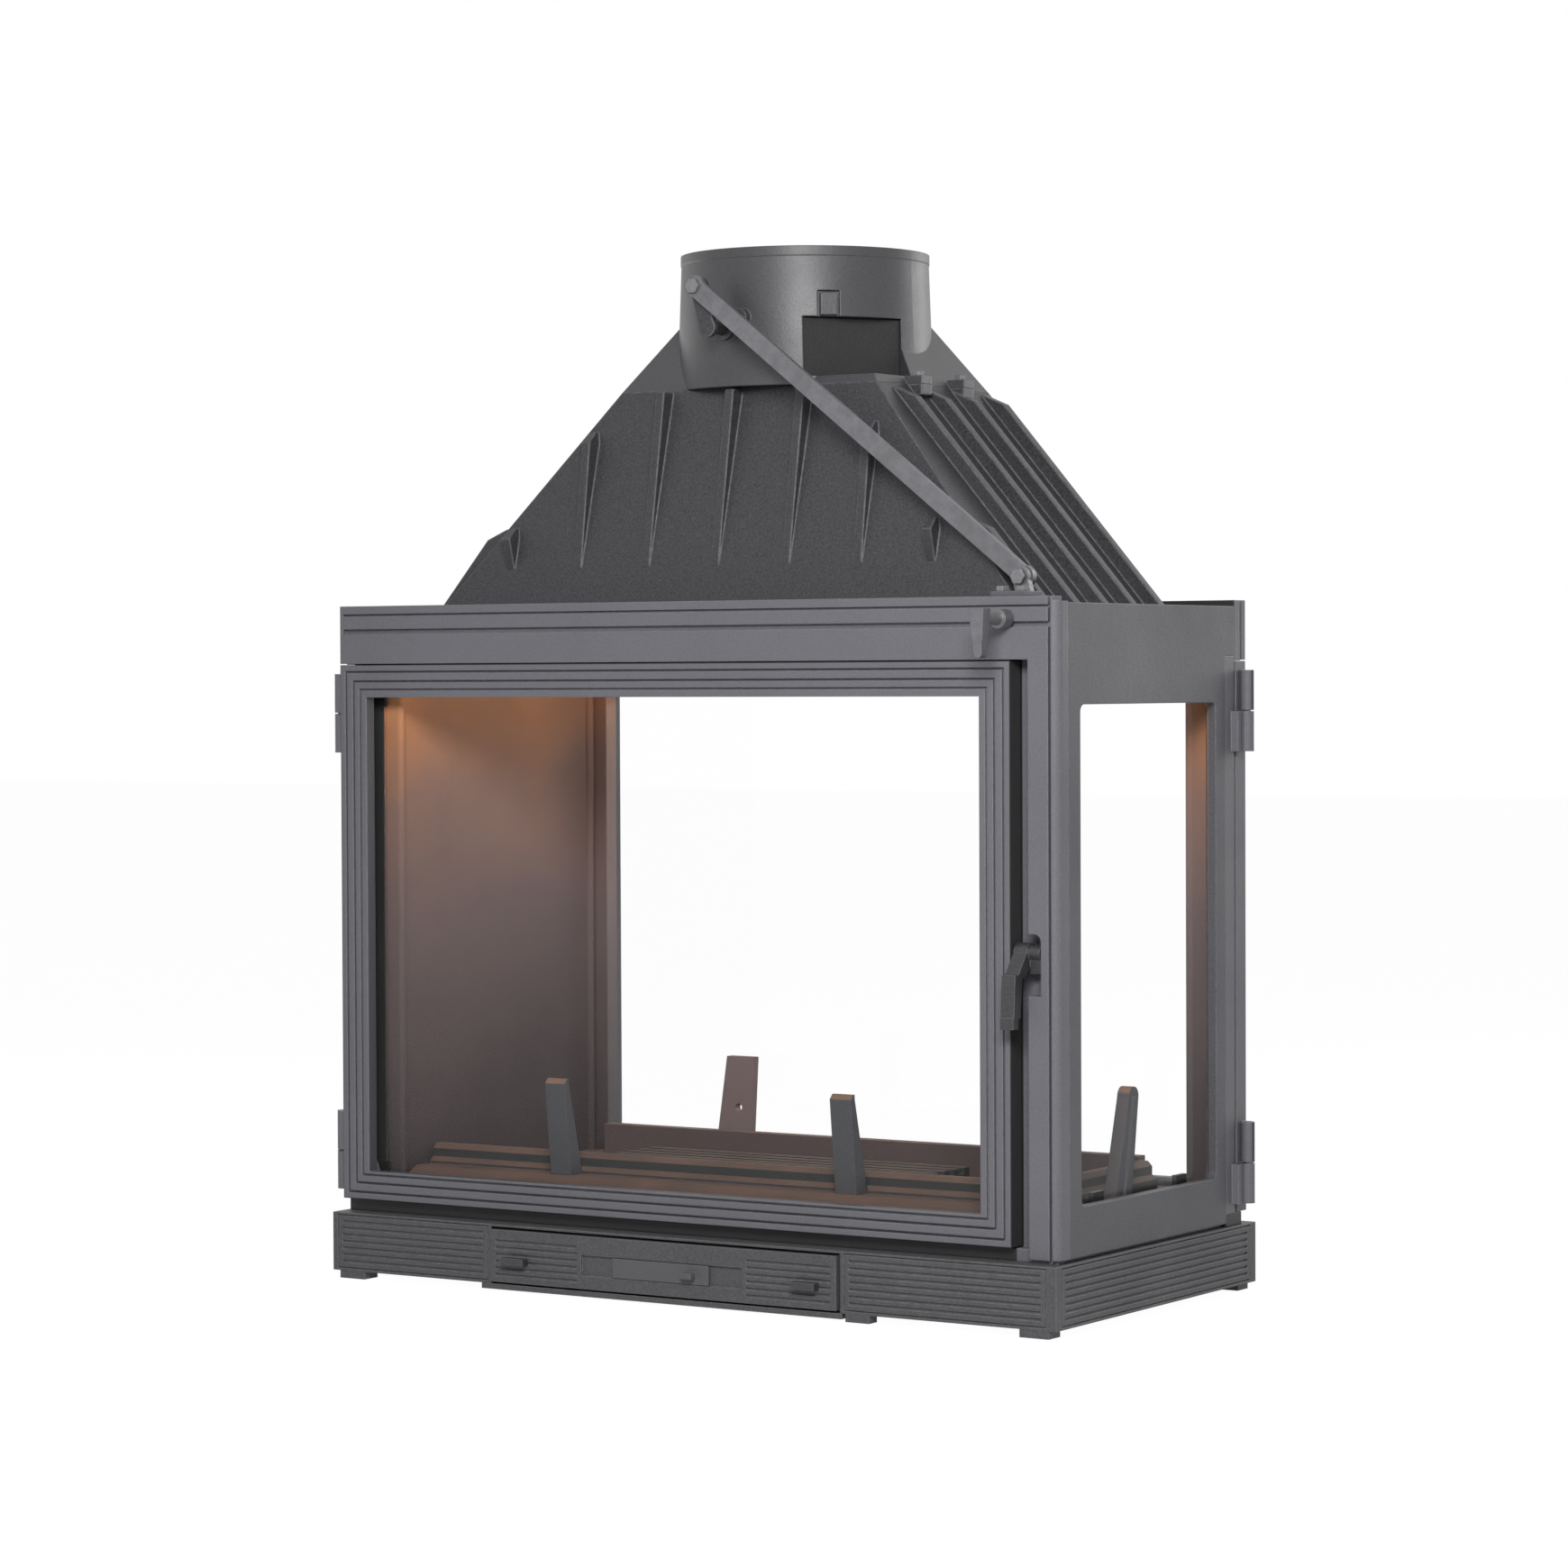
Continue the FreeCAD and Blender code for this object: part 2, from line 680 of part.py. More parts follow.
def left_wall():
    """Closed left side; an ear over the front frame fills the corner behind the fascia."""
    wall = box(LEFT, SKIN_LEFT, INNER, f"-{SIDE_START}", "plinth_top", SIDE_TOP)
    ear = box(LEFT, SKIN_LEFT, SEAT, f"{INNER} + 1", DECK, SIDE_TOP)
    panel = box(LEFT, f"{LEFT} + 2", f"{INNER} + 22", f"{BACK} - 22", "plinth_top + 40", f"{SIDE_TOP} - 40")
    groove = box(LEFT, f"{LEFT} + foot_groove_depth", INNER, f"-{SIDE_START}", "plinth_top", FOOT_LINE)
    return cut(join(wall, ear), panel, groove)


FIREBACK = f"({SKIN_LEFT} + board_thickness)"
FIREBACK_FACE = f"({FIREBACK} + fireback_thickness)"
FIREBACK_NOSE = (f"({SEAT} + 2)", f"({MOUTH_HIGH} - 1)")


FIREBACK_REAR = (f"({FIREBACK} + fireback_slant)", f"({FIREBACK_FACE} + fireback_slant)")


def left_fireback():
    """Fireback that stands slightly askew, closer to the fire at the rear, with a bead at each edge.

    Its front edge passes through the mouth of the front frame.
    """
    levels = (HEARTH, DECK)
    plate = drawn_block(INNER, BACK, (FIREBACK, FIREBACK_FACE, *levels), (*FIREBACK_REAR, *levels))
    y0, z1 = FIREBACK_NOSE
    nose = box(FIREBACK, FIREBACK_FACE, y0, INNER, HEARTH, z1)
    front_bead = rod("z", FIREBACK_FACE, f"{y0} + fireback_bead", HEARTH, z1, "fireback_bead")
    rear_bead = rod("z", FIREBACK_REAR[1], f"{BACK} - fireback_bead - 1", HEARTH, DECK, "fireback_bead")
    return join(plate, nose, front_bead, rear_bead)


def insulation_board():
    """Board that fills the wedge between the left wall and the fireback."""
    levels = (HEARTH, DECK)
    return drawn_block(INNER, BACK, (SKIN_LEFT, FIREBACK, *levels), (SKIN_LEFT, FIREBACK_REAR[0], *levels))


# Facade frames


def frame_casting():
    """Front frame: seat plate behind the door, fascia, corner post, bottom rail, lips, hinge knuckles."""
    plate = box(LEFT, SKIN_RIGHT, SEAT, INNER, "plinth_top", DECK)
    fascia = box(LEFT, SKIN_RIGHT, FRONT, SEAT, "front_top - fascia_height", "front_top")
    post = box(POST_LEFT, SKIN_RIGHT, FRONT, SEAT, "plinth_top", "front_top")
    rail = box(LEFT, SKIN_RIGHT, f"{FRONT} + rail_recess", SEAT, "plinth_top", "plinth_top + rail_height")
    bead = rod("z", SKIN_RIGHT, f"{FRONT} + bead_radius", "plinth_top", "front_top - 4", "bead_radius")
    corner = box(
        SKIN_RIGHT,
        RIGHT,
        f"{FRONT} + bead_radius",
        f"{FRONT} + 2 * bead_radius",
        "plinth_top",
        "front_top - 4",
    )
    body = join(plate, fascia, post, rail, bead, corner, *draught_lips(), *frame_knuckles())
    mouth = box(*MOUTH, SEAT, INNER, MOUTH_LOW, MOUTH_HIGH)
    holes = [hinge_bore(z, f"{z} + knuckle_height") for z in frame_knuckle_levels()]
    return cut(body, mouth, keeper_notch(), *fascia_grooves(), *frame_foot_grooves(), *holes)


def draught_lips():
    """Low lips at the hinge end that close the slits above and below the door."""
    span = (LEFT, f"{LEFT} + lip_width", f"{FRONT} + rail_recess", SEAT)
    above = box(*span, f"{DOOR_HIGH} + lip_play", "front_top - fascia_height")
    below = box(*span, "plinth_top + rail_height", f"{DOOR_LOW} - lip_play")
    return [above, below]


def frame_foot_grooves():
    """Shadow groove along the foot of the frame, round its corner."""
    levels = ("plinth_top", FOOT_LINE)
    front = box(LEFT, RIGHT, FRONT, f"{FRONT} + foot_groove_depth", *levels)
    side = box(f"{RIGHT} - foot_groove_depth", RIGHT, FRONT, f"{FRONT} + 2 * bead_radius", *levels)
    return [front, side]


def frame_knuckle_levels():
    return ("hinge_low", f"({DOOR_HIGH} - hinge_high)")


def door_knuckle_levels():
    return [f"({z} + knuckle_height + door_gap)" for z in frame_knuckle_levels()]


def hinge_bore(z0, z1):
    return rod("z", HINGE_X, HINGE_Y, f"{z0} + 3", z1, PIN_HOLE)


def frame_knuckles():
    parts = []
    for z in frame_knuckle_levels():
        top = f"{z} + knuckle_height"
        parts.append(rod("z", HINGE_X, HINGE_Y, z, top, "knuckle_radius"))
        back = f"{SEAT} + knuckle_root"
        arm = box(HINGE_X, f"{LEFT} - door_gap", HINGE_Y, back, z, top)
        root = box(f"{LEFT} - door_gap", f"{LEFT} + 1", f"{SEAT} + 1", back, z, top)
        parts += [arm, root]
    return parts


def keeper_notch():
    """Slot in the corner post for the latch tongue, open to the front and the door side."""
    z0, z1 = "(latch_height - notch_low)", "(latch_height + notch_high)"
    x1 = f"({POST_LEFT} + notch_width)"
    low = box(POST_LEFT, x1, FRONT, f"{SEAT} - 3", z0, f"{z1} - 6")
    high = box(POST_LEFT, f"{x1} - 6", FRONT, f"{SEAT} - 3", z0, z1)
    turn_corner = rod("y", f"{x1} - 6", FRONT, f"{z1} - 6", f"{SEAT} - 3", "6")
    return join(low, high, turn_corner)


def fascia_grooves():
    x0, x1 = f"({LEFT} + 3)", f"({SKIN_RIGHT} - 1.2)"
    fine = box(x0, x1, FRONT, f"{FRONT} + 3", "front_top - 9", "front_top - 6.8")
    wide = box(x0, x1, FRONT, f"{FRONT} + 4", "front_top - 24", "front_top - 19.6")
    upright = box(x1, f"{x1} + 2.4", FRONT, f"{FRONT} + 5", "plinth_top", "front_top")
    end = box(LEFT, f"{LEFT} + 2.5", f"{FRONT} + 5", f"{FRONT} + 10", "front_top - fascia_height", "front_top")
    return [fine, wide, upright, end]


def front_frame():
    shaft = rod("y", LEVER_X, FRONT, LEVER_Z, SEAT, "shaft_radius + running_fit")
    bolts = [
        rod("z", x, f"{FRONT} + 9", "front_top - 12", "front_top", "3 + running_fit")
        for x in bracket_bolt_places()
    ]
    pane = box(
        f"{SKIN_RIGHT} - 12",
        SKIN_RIGHT,
        f"{FRONT} + window_front - pane_lap - 2",
        INNER,
        "window_low - pane_lap - 1",
        "window_high + pane_lap + 1",
    )
    nose = box(f"{FIREBACK} - joint_line", MOUTH[0], SEAT, INNER, MOUTH_LOW, MOUTH_HIGH)
    return cut(frame_casting(), shaft, *bolts, pane, nose)


def rear_frame():
    return half_turn(frame_casting())


# Right side with its fixed pane


def side_plate():
    """Right side with its window; an ear over the rear frame fills the corner behind the fascia."""
    plate = box(SKIN_RIGHT, RIGHT, SIDE_START, BACK, "plinth_top", SIDE_TOP)
    ear = box(SKIN_RIGHT, RIGHT, f"{BACK} - 1", f"-{SEAT}", DECK, SIDE_TOP)
    groove = box(f"{RIGHT} - foot_groove_depth", RIGHT, SIDE_START, BACK, "plinth_top", FOOT_LINE)
    return cut(join(plate, ear), rounded_window(SKIN_RIGHT, RIGHT), groove)


def side_pane_box(x0, x1, lap):
    y0, y1 = f"({FRONT} + window_front)", f"({BACK} - window_rear)"
    return box(x0, x1, f"{y0} - {lap}", f"{y1} + {lap}", f"window_low - {lap}", f"window_high + {lap}")


def side_glass():
    x1 = f"({SKIN_RIGHT} - side_gasket)"
    return side_pane_box(f"{x1} - glass_thickness", x1, "pane_lap")


def side_gasket():
    x0 = f"({SKIN_RIGHT} - side_gasket)"
    return cut(side_pane_box(x0, SKIN_RIGHT, "pane_lap"), side_pane_box(x0, SKIN_RIGHT, "3"))


def side_glass_clips():
    """Clips that hold the side pane: two standing on the hearth, two hooked over its top edge."""
    glass_in = f"({SKIN_RIGHT} - side_gasket - glass_thickness)"
    above = "(window_high + pane_lap + 1)"
    clips = []
    for y in ("-80", "60"):
        y1 = f"{y} + 18"
        clips.append(box(f"{glass_in} - 4", glass_in, y, y1, HEARTH, "window_low + 6"))
        hook = box(f"{glass_in} - 3", glass_in, y, y1, "window_high + 4", f"{above} + 13")
        root = box(glass_in, SKIN_RIGHT, y, y1, above, f"{above} + 13")
        clips.append(join(hook, root))
    return group(*clips)


# Doors, each built in the front place


def door_frame():
    """Moulded door frame with a glass rebate behind, two knuckles and the latch bore."""
    span_x, span_z = (LEFT, DOOR_RIGHT), (DOOR_LOW, DOOR_HIGH)
    slab = box(*span_x, FRONT, DOOR_BACK, *span_z)
    knuckles, bores = [], []
    for z in door_knuckle_levels():
        top = f"{z} + knuckle_height"
        knuckles.append(rod("z", HINGE_X, HINGE_Y, z, top, "knuckle_radius"))
        knuckles.append(box(HINGE_X, f"{LEFT} + 1", f"{FRONT} + 1", f"{FRONT} + 8", z, top))
        bores.append(rod("z", HINGE_X, HINGE_Y, z, f"{z} + knuckle_height - 4", PIN_HOLE))
    view = box(*VIEW, FRONT, DOOR_BACK, VIEW_LOW, VIEW_HIGH)
    rebate = door_pane_box(REBATE_FLOOR, DOOR_BACK, "(glass_lap + glass_play)")
    steps = [
        ring(span_x, span_z, (FRONT, f"{FRONT} + {depth}"), inset, width)
        for inset, width, depth in ((5, "ring_groove", 3), (13, "ring_groove", 3), (20, "ring_groove", 2.5))
    ]
    pivot = rod("x", f"{DOOR_RIGHT} - 17", HINGE_Y, "latch_height", DOOR_RIGHT, PIN_HOLE)
    return cut(join(slab, *knuckles), view, rebate, *steps, *bores, pivot)


REBATE_FLOOR = f"({DOOR_BACK} - glass_thickness - gasket_thickness)"


def door_pane_box(y0, y1, lap):
    return box(
        f"{VIEW[0]} - {lap}",
        f"{VIEW[1]} + {lap}",
        y0,
        y1,
        f"{VIEW_LOW} - {lap}",
        f"{VIEW_HIGH} + {lap}",
    )


def door_glass():
    return door_pane_box(f"{DOOR_BACK} - glass_thickness", DOOR_BACK, "glass_lap")


def door_gasket():
    y = (REBATE_FLOOR, f"({REBATE_FLOOR} + gasket_thickness)")
    return cut(door_pane_box(*y, "glass_lap"), door_pane_box(*y, "2"))


def door_clips():
    """Flat corner clips on the back of the door, lapping over the pane."""
    y = (DOOR_BACK, f"({DOOR_BACK} + clip_thickness)")
    lap = "(glass_lap + 4)"
    clips = []
    for x0, x1 in (
        (f"{VIEW[0]} - {lap}", f"{VIEW[0]} - {lap} + clip_size"),
        (f"{VIEW[1]} + {lap} - clip_size", f"{VIEW[1]} + {lap}"),
    ):
        for z0, z1 in (
            (f"{VIEW_LOW} - {lap} + 2", f"{VIEW_LOW} - {lap} + clip_size"),
            (f"{VIEW_HIGH} + {lap} - clip_size", f"{VIEW_HIGH} + {lap} - 2"),
        ):
            clips.append(box(x0, x1, *y, z0, z1))
    return group(*clips)


def door_seal():
    return ring((LEFT, DOOR_RIGHT), (DOOR_LOW, DOOR_HIGH), (DOOR_BACK, SEAT), "seal_inset - 1", "seal_width")


def hinge_pins():
    return group(*[
        rod("z", HINGE_X, HINGE_Y, f"{z} + 3", f"{z} + 2 * knuckle_height - 4", "pin_radius")
        for z in frame_knuckle_levels()
    ])


LATCH_LEFT = f"({DOOR_RIGHT} + (door_channel - latch_thickness) / 2)"
LATCH_RIGHT = f"({LATCH_LEFT} + latch_thickness)"


def latch_handle():
    """Flat handle hanging in the channel beside the door, with a tongue in the keeper notch."""
    across = (LATCH_LEFT, LATCH_RIGHT)
    boss = rod("x", LATCH_LEFT, HINGE_Y, "latch_height", LATCH_RIGHT, "latch_boss")
    face = f"({FRONT} - latch_reach)"
    arm = frustum(
        "latch_height - 19",
        "latch_height",
        (*across, f"{FRONT} - 14", f"{FRONT} - 1"),
        (*across, f"{FRONT} + 1", f"{FRONT} + 15"),
    )
    grip = frustum(
        "latch_height - 50",
        "latch_height - 16",
        (*across, f"{face} + 1", f"{face} + 11"),
        (*across, f"{face} + 3", f"{face} + 15"),
    )
    foot = box(*across, face, f"{face} + 8", "latch_height - 58", "latch_height - 49")
    tongue = rod("x", LATCH_RIGHT, HINGE_Y, "latch_height", f"{POST_LEFT} + 8", "6")
    low, high = "latch_height - 16", "latch_height"
    nose = box(LATCH_RIGHT, f"{POST_LEFT} + 8", f"{HINGE_Y} - 3", f"{HINGE_Y} + 3", low, high)
    bore = rod("x", LATCH_LEFT, HINGE_Y, "latch_height", f"{LATCH_LEFT} + 9", PIN_HOLE)
    return cut(join(boss, arm, grip, foot, tongue, nose), bore)


def latch_pin():
    stem = rod("x", f"{DOOR_RIGHT} - 16", HINGE_Y, "latch_height", f"{LATCH_LEFT} + 9", "pin_radius")
    washer = rod("x", f"{LATCH_LEFT} - 1.5", HINGE_Y, "latch_height", LATCH_LEFT, "6.5")
    return join(stem, washer)


# Deck, hood and flue collar


HOOD_BASE = (
    "(hood_x - body_width / 2 + hood_side_margin)",
    "(hood_x + body_width / 2 - hood_side_margin)",
    f"({FRONT} + hood_front_margin)",
    f"(-{FRONT} - hood_rear_margin)",
)
HOOD_SEAM = (
    "(hood_x - seam_half_x)",
    "(hood_x + seam_half_x)",
    "(flue_y - seam_half_y)",
    "(flue_y + seam_half_y)",
)


def shrink(span, amount):
    """A rectangle drawn in by the same amount on all four sides."""
    x0, x1, y0, y1 = span
    return (f"({x0} + {amount})", f"({x1} - {amount})", f"({y0} + {amount})", f"({y1} - {amount})")


def hood_at(side, z):
    """Where one of the four hood faces lies at height z."""
    low, high = HOOD_BASE[side], HOOD_SEAM[side]
    return f"({low} + ({high} - {low}) * ({z} - {HOOD_LOW}) / ({SEAM} - {HOOD_LOW}))"


def deck_plate():
    plate = box(SKIN_LEFT, SKIN_RIGHT, SEAT, f"-{SEAT}", DECK, HOOD_LOW)
    x0, x1, y0, y1 = shrink(HOOD_BASE, "24")
    return cut(plate, box(x0, x1, y0, y1, DECK, HOOD_LOW))


def hood_lower():
    shell = frustum(HOOD_LOW, SEAM, HOOD_BASE, HOOD_SEAM)
    hollow = frustum(HOOD_LOW, SEAM, shrink(HOOD_BASE, "hood_wall"), shrink(HOOD_SEAM, "hood_wall"))
    lugs = seam_lugs(f"{SEAM} - 9", SEAM)
    return cut(join(shell, *front_ribs(), *side_fins(), *lugs), hollow, *seam_bores())


def hood_level(share):
    """Height at a share of the way up the lower hood."""
    return f"({HOOD_LOW} + {share} * ({SEAM} - {HOOD_LOW}))"


def front_ribs():
    """Seven ribs on the front face, pointed below, the outer ones cut short by the hips."""
    low = hood_level(0.315)
    tops = {step: hood_level(share) for step, share in enumerate((0.99, 0.99, 0.805, 0.435))}
    ribs = []
    for step in range(-3, 4):
        x0 = f"(hood_x - rib_shift + {step} * rib_pitch - rib_width / 2)"
        x1 = f"({x0} + rib_width)"
        high = tops[abs(step)]
        foot = (x0, x1, f"{hood_at(2, low)} - 0.5", f"{hood_at(2, low)} + 3")
        crest = (x0, x1, f"{hood_at(2, high)} - rib_proud", f"{hood_at(2, high)} + 3")
        ribs.append(frustum(low, high, foot, crest))
        if abs(step) > 1:
            end = f"({high} + 9)"
            tip = (f"{x0} + 2", f"{x1} - 2", f"{hood_at(2, end)} - 5", f"{hood_at(2, end)} + 3")
            ribs.append(frustum(high, end, crest, tip))
    return ribs


def side_fins():
    """Fins down the two end slopes of the hood, the one by the front hip shorter."""
    low = hood_level(0.028)
    fins = []
    for row, share in enumerate((0.435, 0.945, 0.945, 0.945, 0.945), start=-2):
        y = f"(fin_middle + {row} * fin_pitch)"
        high, end = hood_level(share), hood_level(share + 0.04)
        for side, out in ((0, -1), (1, 1)):
            levels = []
            for z, proud in ((low, "fin_proud"), (high, "fin_proud"), (end, "2")):
                edges = [f"{hood_at(side, z)} - {out} * 3", f"{hood_at(side, z)} + {out} * ({proud})"]
                levels.append((*edges[::out], f"{y} - rib_width / 2", f"{y} + rib_width / 2"))
            fins.append(frustum(low, high, levels[0], levels[1]))
            fins.append(frustum(high, end, levels[1], levels[2]))
    return fins


def hatch_block(r0, half, z0, z1):
    return radial_box("hatch_angle", r0, "170", half, z0, z1)


def hood_cap():
    """Upper hood that passes into the round flue collar, with a flat hatch recess at the front right."""
    slope_top = f"({SEAM} + cap_slope_height)"
    shell = frustum(SEAM, slope_top, HOOD_SEAM, shrink(HOOD_SEAM, "cap_slope_run"))
    foot_radius = "(collar_radius + collar_taper)"
    tube = cone("hood_x", "flue_y", SEAM, "collar_top", foot_radius, "collar_radius")
    band = rod("z", "hood_x", "flue_y", "collar_top - band_height", "collar_top", "collar_radius + collar_band")
    front = f"(flue_y - {foot_radius})"
    bosses = [
        rod("y", AXLE_X, f"{front} - 5", AXLE_Z, "flue_y - 98", "9"),
        rod("y", AXLE_X, "flue_y + 98", AXLE_Z, f"flue_y + {foot_radius} + 2", "9"),
        rod("y", f"{AXLE_X} + 15", f"{front} - 4", f"{AXLE_Z} + 9", "flue_y - 98", "7.5"),
    ]
    blind = rod("y", f"{AXLE_X} + 15", f"{front} - 4", f"{AXLE_Z} + 9", f"{front} + 5", "4")
    solid = join(shell, tube, band, *bosses, *seam_lugs(SEAM, f"{SEAM} + 7"))
    throat = frustum(
        SEAM,
        slope_top,
        shrink(HOOD_SEAM, "hood_wall"),
        shrink(HOOD_SEAM, "(hood_wall + cap_slope_run)"),
    )
    flue = rod("z", "hood_x", "flue_y", f"{SEAM} + hood_wall", "collar_top - socket_depth", "flue_radius")
    keep = hatch_block("hatch_floor - 6", "hatch_half + 7", SEAM, f"{SEAM} + hatch_top + 6")
    hollow = cut(join(throat, flue), keep)
    socket = rod("z", "hood_x", "flue_y", "collar_top - socket_depth", "collar_top", "socket_radius")
    recess = hatch_block("hatch_floor", "hatch_half + 0.4", f"{SEAM} + hood_wall", f"{SEAM} + hatch_top")
    bore = rod("y", AXLE_X, f"{front} - 6", AXLE_Z, f"flue_y + {foot_radius}", "shaft_radius + running_fit")
    notch_floor = "(collar_radius - notch_depth + 2)"
    low, high = f"({SEAM} + hatch_top + 1)", f"({SEAM} + hatch_top + 1 + lug_height)"
    wide = "lug_half + lug_gap"
    notch = radial_box("lug_angle", notch_floor, "170", wide, f"{SEAM} + hatch_top - 3", f"{high} + lug_gap")
    lug = radial_box("lug_angle", f"{notch_floor} - 1", "collar_radius + 3.5", "lug_half", low, high)
    return join(cut(solid, hollow, socket, recess, bore, blind, notch, *seam_bores()), lug)


def flue_hatch():
    """Flat cover plate in the recess of the cap."""
    return radial_box(
        "hatch_angle",
        "hatch_floor",
        "hatch_floor + hatch_plate",
        "hatch_half",
        f"{SEAM} + hood_wall",
        f"{SEAM} + hatch_top - 1",
    )


def seam_places():
    """Where the seam bolts stand: the two ends of the hood, two bolts each."""
    return [
        (f"({HOOD_SEAM[side]} + {out} * 6)", y)
        for side, out in ((0, -1), (1, 1))
        for y in ("(flue_y - 34)", "(flue_y + 34)")
    ]


def seam_lugs(z0, z1):
    return [
        box(f"{x} - seam_lug / 2", f"{x} + seam_lug / 2", f"{y} - seam_lug / 2", f"{y} + seam_lug / 2", z0, z1)
        for x, y in seam_places()
    ]


def seam_bores():
    levels = (f"{SEAM} - bolt_grip", f"{SEAM} + bolt_grip")
    return [rod("z", x, y, *levels, "bolt_radius + running_fit") for x, y in seam_places()]


def seam_bolts():
    """Bolts that hold the upper hood on the lower one."""
    bolts = []
    for x, y in seam_places():
        seat = f"({SEAM} + bolt_grip)"
        shank = rod("z", x, y, f"{SEAM} - bolt_grip + 1", seat, "bolt_radius")
        head = hexagon("z", x, y, seat, f"{seat} + bolt_head_height", "bolt_head")
        bolts.append(join(shank, head))
    return group(*bolts)


def smoke_baffle():
    """Plate on two legs that turns the smoke aside under the flue."""
    _, _, y0, y1 = shrink(HOOD_BASE, "baffle_margin")
    span = ("hood_x - baffle_half", "hood_x + baffle_half")
    low = f"({HOOD_LOW} + baffle_rise)"
    plate = box(*span, y0, y1, low, f"{low} + baffle_thickness")
    legs = [
        box(*span, ya, yb, HOOD_LOW, low)
        for ya, yb in ((y0, f"{y0} + baffle_thickness"), (f"{y1} - baffle_thickness", y1))
    ]
    return join(plate, *legs)


# Damper and its lever


def bracket_bolt_places():
    return (f"({LEVER_X} - 8)", f"({LEVER_X} + 10)")


def damper_bracket():
    """Angle bracket on the fascia top with a leg that steadies the shaft."""
    x0, x1 = f"({LEVER_X} - 15)", f"({LEVER_X} + 17)"
    top = box(x0, x1, f"{FRONT} + 2", f"{SEAT} + 8", "front_top", "front_top + bracket_thickness")
    x0, x1 = f"{LEVER_X} - 10", f"{LEVER_X} + 10"
    leg = box(x0, x1, f"{SEAT} + 3", f"{SEAT} + 8", f"{LEVER_Z} - 12", "front_top + 1")
    bore = rod("y", LEVER_X, f"{SEAT} + 3", LEVER_Z, f"{SEAT} + 8", "shaft_radius + running_fit")
    holes = [
        rod("z", x, f"{FRONT} + 9", "front_top", "front_top + bracket_thickness", "3 + running_fit")
        for x in bracket_bolt_places()
    ]
    return cut(join(top, leg), bore, *holes)


def bracket_bolts():
    bolts = []
    for x in bracket_bolt_places():
        top = "(front_top + bracket_thickness)"
        shank = rod("z", x, f"{FRONT} + 9", "front_top - 11", top, "3")
        head = hexagon("z", x, f"{FRONT} + 9", top, f"{top} + 4", "5.5")
        bolts.append(join(shank, head))
    return group(*bolts)


def damper_lever():
    """Tapered hand lever with a round tip, hanging in front of the fascia."""
    y0, y1 = f"({FRONT} - lever_reach)", f"({FRONT} - lever_reach + 11)"
    low = f"({LEVER_Z} - lever_length)"
    blade = frustum(
        low,
        f"{LEVER_Z} + 8",
        (f"{LEVER_X} - lever_tip", f"{LEVER_X} + lever_tip", f"{y0} + 2", y1),
        (f"{LEVER_X} - 6.5", f"{LEVER_X} + 6.5", y0, y1),
    )
    return join(blade, rod("y", LEVER_X, f"{y0} + 2", low, y1, "lever_tip"))


def damper_shaft():
    stem = rod("y", LEVER_X, f"{FRONT} - lever_reach + 11", LEVER_Z, LOW_CRANK_FRONT, "shaft_radius")
    hub = rod("y", LEVER_X, f"{FRONT} - 14", LEVER_Z, f"{FRONT} - 1", "7.5")
    return join(stem, hub)


def crank(pivot, eye, y0, y1):
    """Flat arm from a pivot up to an eye, bored for the link pin."""
    arm = frustum(
        pivot[1],
        eye[1],
        (f"{pivot[0]} - 7.5", f"{pivot[0]} + 7.5", y0, y1),
        (f"{eye[0]} - 7", f"{eye[0]} + 7", y0, y1),
    )
    ends = [rod("y", pivot[0], y0, pivot[1], y1, "8"), rod("y", eye[0], y0, eye[1], y1, "8")]
    bore = rod("y", eye[0], y0, eye[1], y1, PIN_HOLE)
    return cut(join(arm, *ends), bore)


def damper_crank():
    return crank((LEVER_X, LEVER_Z), EYE_LOW, LOW_CRANK_FRONT, LOW_CRANK_BACK)


def flap_crank():
    return crank((AXLE_X, AXLE_Z), EYE_HIGH, HIGH_CRANK_FRONT, HIGH_CRANK_BACK)


def damper_link():
    """Long flat bar from the lower eye to the upper eye."""
    run = f"({EYE_LOW[0]} - {EYE_HIGH[0]})"
    rise = f"({EYE_HIGH[1]} - {EYE_LOW[1]})"
    slant = f"atan({rise} / {run})"
    bar = doc.addObject("Part::Box", "Bar")
    bind(bar, "Length", f"sqrt({run} * {run} + {rise} * {rise})")
    bind(bar, "Width", "link_thickness")
    bind(bar, "Height", "link_width")
    turn(bar, FreeCAD.Vector(0, 1, 0), 39)
    bind(bar, "Placement.Rotation.Angle", slant)
    place(
        bar,
        f"{EYE_HIGH[0]} - link_width / 2 * sin({slant})",
        LINK_FRONT,
        f"{EYE_HIGH[1]} - link_width / 2 * cos({slant})",
    )
    eyes = [rod("y", x, LINK_FRONT, z, LINK_BACK, "9") for x, z in (EYE_LOW, EYE_HIGH)]
    bores = [rod("y", x, LINK_FRONT, z, LINK_BACK, PIN_HOLE) for x, z in (EYE_LOW, EYE_HIGH)]
    return cut(join(bar, *eyes), *bores)


def link_pins():
    """Pin through the lower crank and the bar, and pin through the bar and the upper crank."""
    ends = (
        (EYE_LOW, f"({LOW_CRANK_FRONT} - side_play)", LINK_BACK),
        (EYE_HIGH, LINK_FRONT, f"({HIGH_CRANK_BACK} + side_play)"),
    )
    pins = []
    for (x, z), y0, y1 in ends:
        stem = rod("y", x, y0, z, y1, "pin_radius")
        front_head = hexagon("y", x, f"{y0} - 3", z, y0, "6.5")
        rear_head = hexagon("y", x, y1, z, f"{y1} + 3", "6.5")
        pins.append(join(stem, front_head, rear_head))
    return group(*pins)


def flap_axle():
    return rod("y", AXLE_X, HIGH_CRANK_BACK, AXLE_Z, "flue_y + 107", "shaft_radius")


